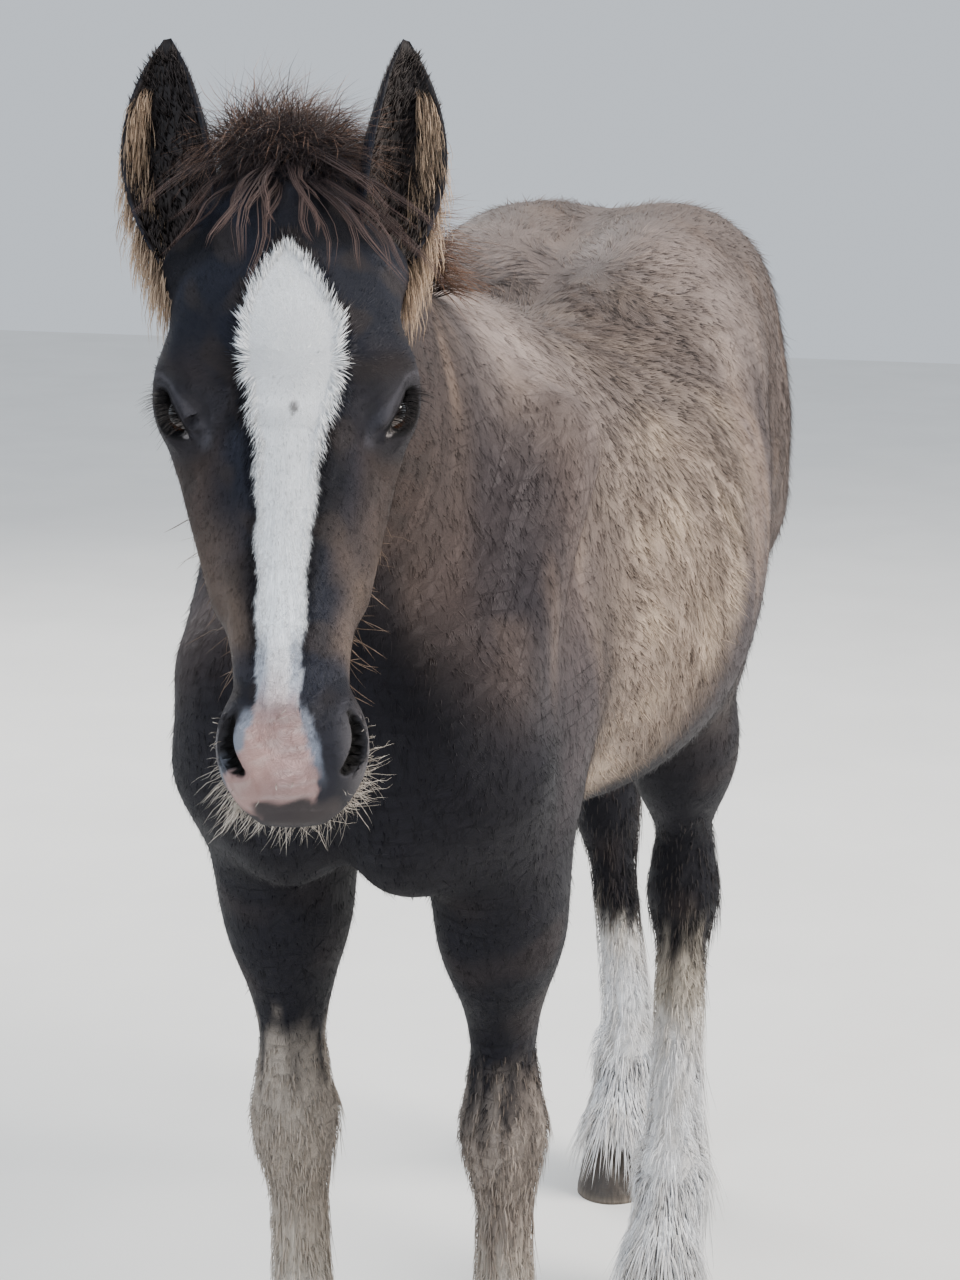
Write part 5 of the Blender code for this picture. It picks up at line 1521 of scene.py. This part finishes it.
def make_forelock(field):
    """A soft dome of fine hair on the poll, from which longer wisps fall over the forehead."""
    random = np.random.default_rng(83)
    count = 4300
    roots, lean, turn = poll_roots(field, random, count, -25, 42)
    lies = np.array(UP) * 0.9 + np.outer(lean * 2.4 + 0.1, np.array(ACROSS))
    lies += np.outer(turn, np.array(OUT)) * 1.1
    lies += random.normal(size=(count, 3)) * 0.30
    lengths = random.uniform(0.044, 0.082, count) * (1 - 0.35 * ramp(0.2, 0.6, turn))
    lift = random.uniform(0.5, 1.0, count)
    paths, sides = combed(field, roots, lies, lengths, lift, 0.22, 4, 0.002, 0.26, 84)
    glow = ramp(0.10, 0.9, random.random(count)) * ramp(0.60, 0.10, turn)
    tips = mixed((0.036, 0.026, 0.026), (0.42, 0.245, 0.170), glow)
    ends = (0.016, 0.012, 0.013), tips
    piece = "poll_tuft", HAIR, "long_hair"
    hair(piece, random, paths, sides, roots, HEAD_LINE, ends, 0.3, (0.0004, 0.0009))

    wisps = 34
    hearts, lean, turn = poll_roots(field, random, wisps, 30, 62)
    each = 9
    count = wisps * each
    start = np.repeat(hearts, each, axis=0) + random.normal(size=(count, 3)) * 0.0022
    start = start - slope(field, start)[0] * field(start)[:, None]
    aim = np.repeat(lean * 1.7 + random.normal(size=wisps) * 0.15, each)
    lies = np.array(ALONG) * 0.85 + np.outer(aim, np.array(ACROSS)) + random.normal(size=(count, 3)) * 0.05
    reach = np.repeat(random.uniform(0.060, 0.165, wisps), each) * random.uniform(0.75, 1.0, count)
    lift = np.repeat(random.uniform(0.35, 1.0, wisps), each) * random.uniform(0.8, 1.2, count)
    paths, sides = combed(field, start, lies, reach, lift, 0.12, 8, 0.0015, 0.0, 85)
    middle = paths.reshape(wisps, each, 9, 3).mean(1)
    gather = np.linspace(0, 0.80, 9)[None, :, None] ** 0.6
    paths = paths * (1 - gather) + np.repeat(middle, each, axis=0) * gather
    wave = np.sin(np.linspace(0, 1, 9)[None] * 7 + np.repeat(random.uniform(0, 6, wisps), each)[:, None])
    paths += (wave * np.linspace(0, 0.006, 9))[..., None] * np.array(ACROSS)
    ends = (0.020, 0.015, 0.016), (0.115, 0.070, 0.058)
    piece = "forelock", HAIR, "long_hair"
    hair(piece, random, paths, sides, start, HEAD_LINE, ends, 0.35, (0.0005, 0.0010))


def make_beard(field):
    """Curly pale whiskers all round chin and lips, and longer brown hair under the jaw."""
    random = np.random.default_rng(86)
    heart = on_head(0.895, -0.165, 0)
    count = 1300
    turn = random.normal(0, math.pi * 0.30, count)  # round the muzzle from the chin
    ahead = random.uniform(-0.55, 0.62, count)
    ways = []
    for a, s in zip(turn, ahead):
        ways.append(-OUT * math.cos(a) + ACROSS * math.sin(a) * 1.15 + ALONG * s)
    roots = surfaced(field, heart, ways, 0.12, 20)
    ways = unit(np.array(ways))
    lies = ways * 0.6 + np.array(ALONG) * 0.35 + random.normal(size=(count, 3)) * 0.30
    lengths = (0.010 + 0.040 * random.random(count) ** 1.4) * ramp(2.3, 1.2, np.abs(turn))
    lengths = np.maximum(lengths, 0.006)
    lift = random.uniform(0.5, 1.8, count)
    paths, sides = combed(field, roots, lies, lengths, lift, 0.12, 6, 0.001, 0.36, 87)
    ends = (0.26, 0.21, 0.17), (0.86, 0.78, 0.68)
    piece = "beard", FEATHER, "white_hair"
    hair(piece, random, paths, sides, roots, HEAD_LINE, ends, 0.3, (0.00040, 0.00075))
    count = 1000
    along, side = random.uniform(0.44, 0.82, count), random.uniform(-1, 1, count)
    roots = surfaced(field, [on_head(a, -0.16, 0) for a in along], [-OUT + ACROSS * s * 0.8 for s in side])
    kept = Place(roots).head > 0.5
    roots, side = roots[kept], side[kept]
    count = len(roots)
    lies = np.array([ALONG * 0.6 - OUT * 0.5 + ACROSS * s * 0.5 for s in side])
    lies = lies + random.normal(size=(count, 3)) * 0.22
    lengths = random.uniform(0.020, 0.055, count)
    lift = random.uniform(0.3, 1.0, count)
    paths, sides = combed(field, roots, lies, lengths, lift, 0.12, 4, 0.001, 0.20, 88)
    ends = (0.05, 0.038, 0.032), (0.24, 0.165, 0.12)
    piece = "jaw_hair", HAIR, "coat"
    hair(piece, random, paths, sides, roots, HEAD_LINE, ends, 0.35, (0.0007, 0.0014))


def make_feather(pair, side_name):
    """Long hair behind the cannon and all round the pastern, down over the hoof."""
    random = np.random.default_rng(90 + 2 * (pair == "hind") + (side_name == "left"))
    field = Field()
    (foreleg_forms if pair == "fore" else hind_leg_forms)(field, side_name)
    if pair == "fore":
        _, joint, fetlock, coronet = fore_joints(side_name)
        foot = FORE_FEET[side_name]
    else:
        _, _, joint, fetlock, coronet = hind_joints(side_name)
        foot = HIND_FEET[side_name]
    clear = Field()
    clear.forms += field.forms
    clear.limb(Vector((*foot, 0.01)), coronet, 0.046, 0.038, melt=0.01)
    count, around = 4900, 2800
    height = random.uniform(0, 1, count) ** 1.15
    shaggy = np.arange(count) < around
    height[shaggy] = random.uniform(0, 1, around)
    top, bottom = joint + UP * 0.085, coronet + UP * 0.022
    turn = np.where(
        (height > 0.40) & ~shaggy, random.normal(0, 0.80, count), random.uniform(-math.pi, math.pi, count)
    )
    middle = 0.45  # the fetlock's share of the feather's height
    hearts = [
        fetlock.lerp(top, (h - middle) / 0.55) if h > middle else bottom.lerp(fetlock, h / middle)
        for h in height
    ]
    ways = np.stack([np.sin(turn), np.cos(turn), np.zeros(count)], 1)
    roots = surfaced(field, hearts, ways, 0.10, 12)
    lies = np.array((0, 0.05, -1.0)) + ways * 0.12 + random.normal(size=(count, 3)) * 0.11
    behind = ramp(-0.3, 0.9, np.cos(turn))
    lengths = np.where(shaggy, 0.030, 0.042 + 0.055 * behind + 0.03 * (height < 0.40))
    lengths = lengths * random.uniform(0.6, 1.1, count) * (1 - 0.60 * ramp(0.62, 1.0, height))
    lengths = np.minimum(lengths, roots[:, 2] - 0.006)
    lift = random.uniform(0.10, 0.40, count) * np.where(shaggy, 1.0, 0.45 + 0.55 * behind)
    lift = lift * (1 - 0.9 * ramp(0.5, 0.75, height))
    near = 0.0015 - 0.0060 * ramp(0.30, 0.55, height)
    deep = 0.8 * coat_depth(roots) * ramp(0.40, 0.70, height)
    roots = roots - slope(clear, roots)[0] * deep[:, None]
    paths, sides = combed(clear, roots, lies, lengths, lift, 0.14, 3, near, 0.035, 91)
    base = coat_colour(roots)
    tip = mixed(base, GOLD, random.uniform(0.0, 0.35 if pair == "fore" else 0.10, count))
    ends = base * 0.88, np.minimum(tip * 1.10, 0.9)
    piece = f"feather_{pair}_{side_name}", FEATHER, "white_hair"
    hair(piece, random, paths, sides, roots, leg_line(*foot), ends, 0.14, (0.0009, 0.0021))


def tail_joints():
    dock = Vector((0, BUTTOCK - 0.045, CROUP - 0.120))
    tip = Vector((0.004, BUTTOCK + 0.070, dock.z - TAIL_LENGTH))
    bend = Vector((0, BUTTOCK + 0.045, dock.z - 0.08))
    middle = bend.lerp(tip, 0.5) + BACKWARD * 0.012
    return dock, bend, middle, tip


def make_tail():
    field = Field()
    trunk_forms(field)
    dock, bend, middle, tip = tail_joints()
    end = middle.lerp(tip, 0.4)
    core = Field()
    core.limbs([dock, bend, middle, end], [0.027, 0.029, 0.026, 0.008], 1.2)
    points, faces = meshed(core, (-0.07, 0.50, 0.60), (0.07, 0.74, 1.12), 0.007)
    obj = mesh_object("tail_core", points, faces, HAIR)
    paint(obj, np.tile((0.016, 0.010, 0.008), (len(points), 1)))
    give(obj, "long_hair", "tail")
    clear = Field()
    clear.forms += field.forms + core.forms
    random = np.random.default_rng(95)
    count = 2800
    share = random.uniform(0, 1, count)
    stops = [dock.lerp(bend, 0.4), bend, middle, end]
    hearts = []
    for s in share:
        i = min(int(s * 3), 2)
        hearts.append(stops[i].lerp(stops[i + 1], s * 3 - i))
    turn = random.uniform(-math.pi, math.pi, count)
    turn = np.where(share < 0.3, turn * 0.55, turn)
    ways = np.stack([np.sin(turn), np.cos(turn), np.zeros(count)], 1)
    roots = surfaced(core, hearts, ways, 0.10, 12)
    lies = np.array(tip - middle) * 4 + ways * 0.06 + random.normal(size=(count, 3)) * 0.12
    lengths = random.uniform(0.75, 1.1, count) * (0.140 + 0.045 * share)
    lift = random.uniform(0.02, 0.20, count)
    paths, sides = combed(clear, roots, lies, lengths, lift, 0.20, 5, 0.002, 0.04, 96)
    ends = (0.018, 0.012, 0.010), (0.12, 0.062, 0.040)
    piece = "tail_hair", HAIR, "long_hair"
    hair(piece, random, paths, sides, roots, (tip, UP, BACKWARD), ends, 0.4, (0.0014, 0.0034))


# Ears


def ear_ring(side, share, segments):
    """The ear's outline at a share of its height: round the back, then along the hollow."""
    root, up, across, opening = ear_frame(side)
    width = smooth_curve((0, 0.2, 0.45, 0.7, 0.88, 1), (48, 62, 71, 58, 34, 8), share) / 2000
    depth = smooth_curve((0, 0.3, 0.6, 1), (24, 27, 20, 3), share) / 1000
    bow = 0.012 * 4 * share * (1 - share)
    centre = root + up * (EAR_LENGTH * share) + ACROSS * side * bow
    hollow = float(np.clip((share - 0.05) / 0.25, 0, 1)) * (0.2 if share > 0.97 else 1)
    wall = min(0.0045, width * 0.35)
    width, depth = width - 0.001, depth - 0.001
    ring = []
    for angle in np.radians(np.linspace(-112, 112, segments)):
        ring.append(centre + across * width * math.sin(angle) - opening * depth * math.cos(angle))
    for angle in np.radians(np.linspace(100, -100, segments - 2)):
        aside = across * (width - wall) * math.sin(angle)
        cup = -(depth - wall) * math.cos(angle)
        ring.append(centre + aside + opening * (cup * hollow + depth * 0.25 * (1 - hollow)))
    return ring


def make_ear(side_name):
    side = SIDES[side_name]
    segments = 17
    shares = np.concatenate([[-0.10], np.linspace(0, 1, 33) ** 0.9])
    rings = np.array([ear_ring(side, max(s, 0), segments) for s in shares])
    root, up, _, _ = ear_frame(side)
    rings[0] -= np.array(up) * 0.018
    count = rings.shape[1]
    points = np.concatenate([rings.reshape(-1, 3), [rings[0].mean(0)], [rings[-1].mean(0)]])
    obj = mesh_object(f"ear_skin_{side_name}", points, tube_faces(len(shares), count), SKIN)
    share = ((points - np.array(root)) @ np.array(up)) / EAR_LENGTH
    inside = np.zeros(len(points), bool)
    inside[: len(shares) * count] = np.tile(np.arange(count) >= segments, len(shares))
    # the ear's back: painted blue sky sheen near the root, black higher up
    dark = mixed(NAVY_SHEEN, BLACK, ramp(0.2, 0.9, share))
    hollow = mixed((0.045, 0.034, 0.030), (0.016, 0.013, 0.013), ramp(0.1, 0.6, share))
    paint(obj, np.where(inside[:, None], hollow, dark))
    vector_attribute(obj, "grain", points - np.outer(points @ np.array(up), np.array(up)) * 0.9)
    give(obj, "coat", f"ear_{side_name}")
    ear_hair(side_name, rings, segments)


def ear_hair(side_name, rings, segments):
    """Short dark hair over the back, and longer pale hair that fills the cup and lines its edges."""
    side = SIDES[side_name]
    root, *axes = ear_frame(side)
    up, across, opening = (np.array(axis) for axis in axes)
    map_line = root, up, across
    random = np.random.default_rng(101 + side)
    levels, around, _ = rings.shape

    def sample(count, low, high, first, last):
        level = random.uniform(low, high, count) * (levels - 2) + 1
        spot = random.uniform(first, last, count)
        i, j = level.astype(int), spot.astype(int)
        f, g = (level - i)[:, None], (spot - j)[:, None]
        i2, j2 = np.minimum(i + 1, levels - 1), (j + 1) % around
        near = rings[i, j % around] * (1 - g) + rings[i, j2] * g
        far = rings[i2, j % around] * (1 - g) + rings[i2, j2] * g
        centre = rings[i].mean(1)
        return near * (1 - f) + far * f, centre, level / levels, spot

    count = 2600
    points, centre, share, spot = sample(count, 0.0, 0.97, 0, segments - 1)
    normals = unit(points - centre)
    lie = unit(up + random.normal(size=(count, 3)) * 0.15)
    length = random.uniform(0.005, 0.009, count) * (1.1 - 0.6 * share)
    tips = points + lie * length[:, None] + normals * (length * 0.15)[:, None]
    paths = np.stack([points - normals * 0.0005, tips], 1)
    sides = np.repeat(unit(np.cross(lie, normals))[:, None], 2, 1)
    piece = f"ear_coat_{side_name}", COAT, "coat"
    hair(piece, random, paths, sides, points, map_line, (BLACK, CHEEK), 0.3, length * 0.15)

    outer = [segments + 0.6, segments + 5.0] if side > 0 else [around - 6.0, around - 1.6]
    count = 2000
    points, centre, share, spot = sample(count, 0.03, 0.93, segments, around - 1)
    lie = unit(up * 0.7 + opening * 0.4 + random.normal(size=(count, 3)) * 0.25)
    length = random.uniform(0.007, 0.015, count) * (1.15 - 0.5 * share)
    paths = np.stack([points + lie * (length * s)[:, None] for s in (0, 0.5, 1)], 1)
    sides = np.repeat(unit(np.cross(lie, opening))[:, None], 3, 1)
    ends = (0.014, 0.011, 0.011), (0.045, 0.035, 0.032)
    piece = f"ear_lining_{side_name}", COAT, "coat"
    hair(piece, random, paths, sides, points, map_line, ends, 0.4, length * 0.10)

    count = 1500
    points, centre, share, spot = sample(count, 0.0, 0.80, *outer)
    low = random.random(count) < 0.30
    share[low] *= 0.35
    level = np.clip((share * levels).astype(int), 1, levels - 2)
    points[low] = rings[level, np.clip(spot.astype(int), 0, around - 1)][low]
    steps = np.linspace(0, 1, 5)
    length = random.uniform(0.028, 0.052, count) * (1.1 - 0.65 * share)
    out = opening * 0.42 + across * side * 0.16
    lie = out + random.normal(size=(count, 3)) * 0.20
    drop = across * side * 0.12 - up
    paths = []
    for s in steps:
        swell = math.sin(s * math.pi * 0.62)
        paths.append(points + lie * (length * swell)[:, None] * 0.50 + drop * (length * s)[:, None] * 0.92)
    paths = np.stack(paths, 1)
    sides = np.repeat(unit(np.cross(drop, out))[None, None], count, 0).repeat(5, 1)
    ends = (0.17, 0.115, 0.080), (0.62, 0.44, 0.30)
    piece = f"ear_fringe_{side_name}", FEATHER, "white_hair"
    hair(piece, random, paths, sides, points, map_line, ends, 0.4, (0.0005, 0.0012))


# Eyes, lashes and hooves


def make_eye(side_name):
    side = SIDES[side_name]
    slit, over, look = gaze(side)
    centre = eye_centre(side)
    rings, segments = 40, 56
    tilt = np.linspace(0, math.pi, rings + 1)[1:-1]
    turn = np.linspace(0, 2 * math.pi, segments, endpoint=False)
    t, a = (v.ravel() for v in np.meshgrid(tilt, turn, indexing="ij"))
    local = np.stack([np.sin(t) * np.cos(a), np.sin(t) * np.sin(a), np.cos(t)], 1)
    local = np.concatenate([local, [(0, 0, 1), (0, 0, -1)]])
    bulge = 1 + 0.035 * ramp(0.75, 1.0, local[:, 2])
    ball = local * bulge[:, None] * (EYE_RADIUS - 0.0003)
    points = np.array(centre) + ball @ np.array([slit, over, look])
    groups = tube_faces(rings - 1, segments)
    if side < 0:
        groups = [group[:, ::-1] for group in groups]
    obj = mesh_object(f"eyeball_{side_name}", points, groups, EYE)
    x, y, _ = local.T
    pupil = np.hypot(x / 0.36, y / 0.20)
    iris = np.hypot(x, y)
    colour = mixed((0.016, 0.008, 0.005), (0.034, 0.016, 0.009), ramp(0.35, 0.62, iris))
    colour = mixed(colour, (0.004, 0.003, 0.003), ramp(1.1, 0.9, pupil))
    colour = mixed(colour, (0.010, 0.006, 0.005), ramp(0.66, 0.74, iris))
    colour = mixed(colour, (0.16, 0.12, 0.11), ramp(0.90, 0.97, iris) * 0.6)
    paint(obj, colour)
    give(obj, "eye", f"eye_{side_name}")
    lashes(side_name, centre, slit, over, look)


def lashes(side_name, centre, slit, over, look):
    """Long lashes that slant down from the upper lid, and a few on the lower lid."""
    random = np.random.default_rng(110 + SIDES[side_name])
    count = 110
    s = random.uniform(-0.85, 0.95, count)
    upper = np.arange(count) < 80
    height = np.where(upper, 0.0088, -0.0088) * np.sqrt(1 - (s * 0.92) ** 2)
    base = np.outer(s * 0.0168, slit) + np.outer(height, over)
    depth = np.sqrt(np.maximum((EYE_RADIUS + 0.002) ** 2 - (base * base).sum(1), 0))
    roots = np.array(centre) + base + np.outer(depth, look)
    way = np.outer(np.full(count, 0.9), look) + np.outer(s * 0.35 - 0.15, slit)
    way += np.outer(np.where(upper, 0.15, -0.35), over) + random.normal(size=(count, 3)) * 0.12
    way = unit(way)
    length = np.where(upper, random.uniform(0.018, 0.032, count), random.uniform(0.005, 0.009, count))
    steps = np.linspace(0, 1, 5)
    drop = np.array(-UP) * 0.45
    paths = [roots + way * (length * t)[:, None] + drop * (length * t * t)[:, None] for t in steps]
    sides = np.repeat(unit(np.cross(way, np.array(over)))[:, None], 5, 1)
    ends = (0.012, 0.010, 0.010), (0.03, 0.024, 0.022)
    piece = f"lashes_{side_name}", HAIR, "long_hair"
    map_line = centre, slit, over
    hair(piece, random, np.stack(paths, 1), sides, roots, map_line, ends, 0.3, (0.0004, 0.0007))


def make_hoof(pair, side_name):
    x, y = (FORE_FEET if pair == "fore" else HIND_FEET)[side_name]
    segments, levels, ahead = 64, 22, 0.020
    random = np.random.default_rng(120)
    ripple = random.uniform(-1, 1, levels + 1) * 0.0004
    points = []
    for level in range(levels + 1):
        share = level / levels
        flare = 0.0012 * (1 - share) ** 3
        for angle in np.linspace(0, 2 * math.pi, segments, endpoint=False):
            s, c = math.sin(angle), math.cos(angle)
            heel = max(c, 0)
            narrow = 0.0015 * max(0, 1 - share * 14)
            reach_x = HOOF_WIDTH / 2 - narrow + flare + ripple[level] - 0.0006
            reach_y = HOOF_LENGTH / 2 - narrow + flare + ripple[level] - 0.0006
            sole = Vector((x + reach_x * s * (1 - 0.14 * heel), y + reach_y * c * (1 - 0.12 * heel), 0))
            top_y = y + ahead + 0.0385 * c
            top_z = CORONET_HEIGHT - CORONET_TILT * (top_y - y - ahead)
            top = Vector((x + 0.0365 * s, top_y, top_z))
            points.append(sole.lerp(top, share))
    points = np.array(points)
    middle_low, middle_top = points[:segments].mean(0), points[-segments:].mean(0)
    points = np.concatenate([points, [middle_low, middle_top]])
    groups = tube_faces(levels + 1, segments)
    obj = mesh_object(f"horn_{pair}_{side_name}", points, groups, HOOF)
    z = points[:, 2]
    colour = mixed((0.045, 0.036, 0.030), (0.12, 0.098, 0.078), ramp(0.012, 0.0, z))
    worn = ramp(0.25, 0.9, waves(points * (1, 1, 0.15), 0.012, 121))
    colour = mixed(colour, (0.15, 0.13, 0.11), worn * 0.35)
    paint(obj, colour)
    give(obj, "hoof", f"{pair}_hoof_{side_name}")


# Studio


def area_light(name, place, target, size, power, tint=(1, 1, 1)):
    data = bpy.data.lights.new(name, "AREA")
    data.shape = "RECTANGLE"
    data.size, data.size_y = size
    data.energy = power
    data.color = tint
    obj = bpy.data.objects.new(name, data)
    obj.location = Vector(place)
    obj.rotation_euler = (Vector(target) - Vector(place)).to_track_quat("-Z", "Y").to_euler()
    bpy.context.scene.collection.objects.link(obj)


def make_studio():
    data = bpy.data.cameras.new("camera")
    data.lens = CAMERA_LENS
    data.sensor_width = 36.0
    data.clip_end = 50
    camera = bpy.data.objects.new("camera", data)
    camera.location = CAMERA_PLACE + SHIFT
    camera.rotation_euler = (math.pi / 2 - CAMERA_DIP, 0, CAMERA_TURN)
    bpy.context.scene.collection.objects.link(camera)
    bpy.context.scene.camera = camera
    floor_paint = Material("floor")
    place = floor_paint.nodes.new("ShaderNodeTexCoord").outputs["Object"]
    speck = floor_paint.spread(floor_paint.noise(place, 3.0).outputs[0], 0.97, 1.03)
    pale = floor_paint.nodes.new("ShaderNodeRGB")
    pale.outputs[0].default_value = (0.78, 0.77, 0.75, 1)
    material = floor_paint.finish(floor_paint.tinted(pale.outputs[0], speck), 0.9)
    half = 9.0
    corners = np.array([(-half, -half, 0), (half, -half, 0), (half, half, 0), (-half, half, 0)])
    floor = mesh_object("floor", corners - np.array(SHIFT), np.array([(0, 1, 2, 3)]), material, False)
    world = bpy.data.worlds.new("studio")
    world.use_nodes = True
    background = world.node_tree.nodes["Background"]
    background.inputs["Color"].default_value = (0.84, 0.91, 1.0, 1)
    background.inputs["Strength"].default_value = 0.85
    bpy.context.scene.world = world
    middle = (0, 0, 0.8)
    area_light("key", (3.6, 0.7, 3.2), middle, (2.8, 2.0), 400, (1.0, 0.95, 0.88))
    area_light("fill", (-1.2, -4.0, 3.4), middle, (3.0, 2.5), 140, (0.80, 0.90, 1.0))
    area_light("rim", (-2.6, 2.8, 2.8), middle, (2.0, 1.5), 120, (1.0, 0.97, 0.92))


def main():
    make_studio()
    skin = make_skin()
    make_coat(skin)
    field = flesh_field()
    make_mane(field)
    make_forelock(field)
    make_beard(field)
    make_tail()
    for side_name in SIDES:
        make_ear(side_name)
        make_eye(side_name)
        for pair in ("fore", "hind"):
            make_feather(pair, side_name)
            make_hoof(pair, side_name)


main()
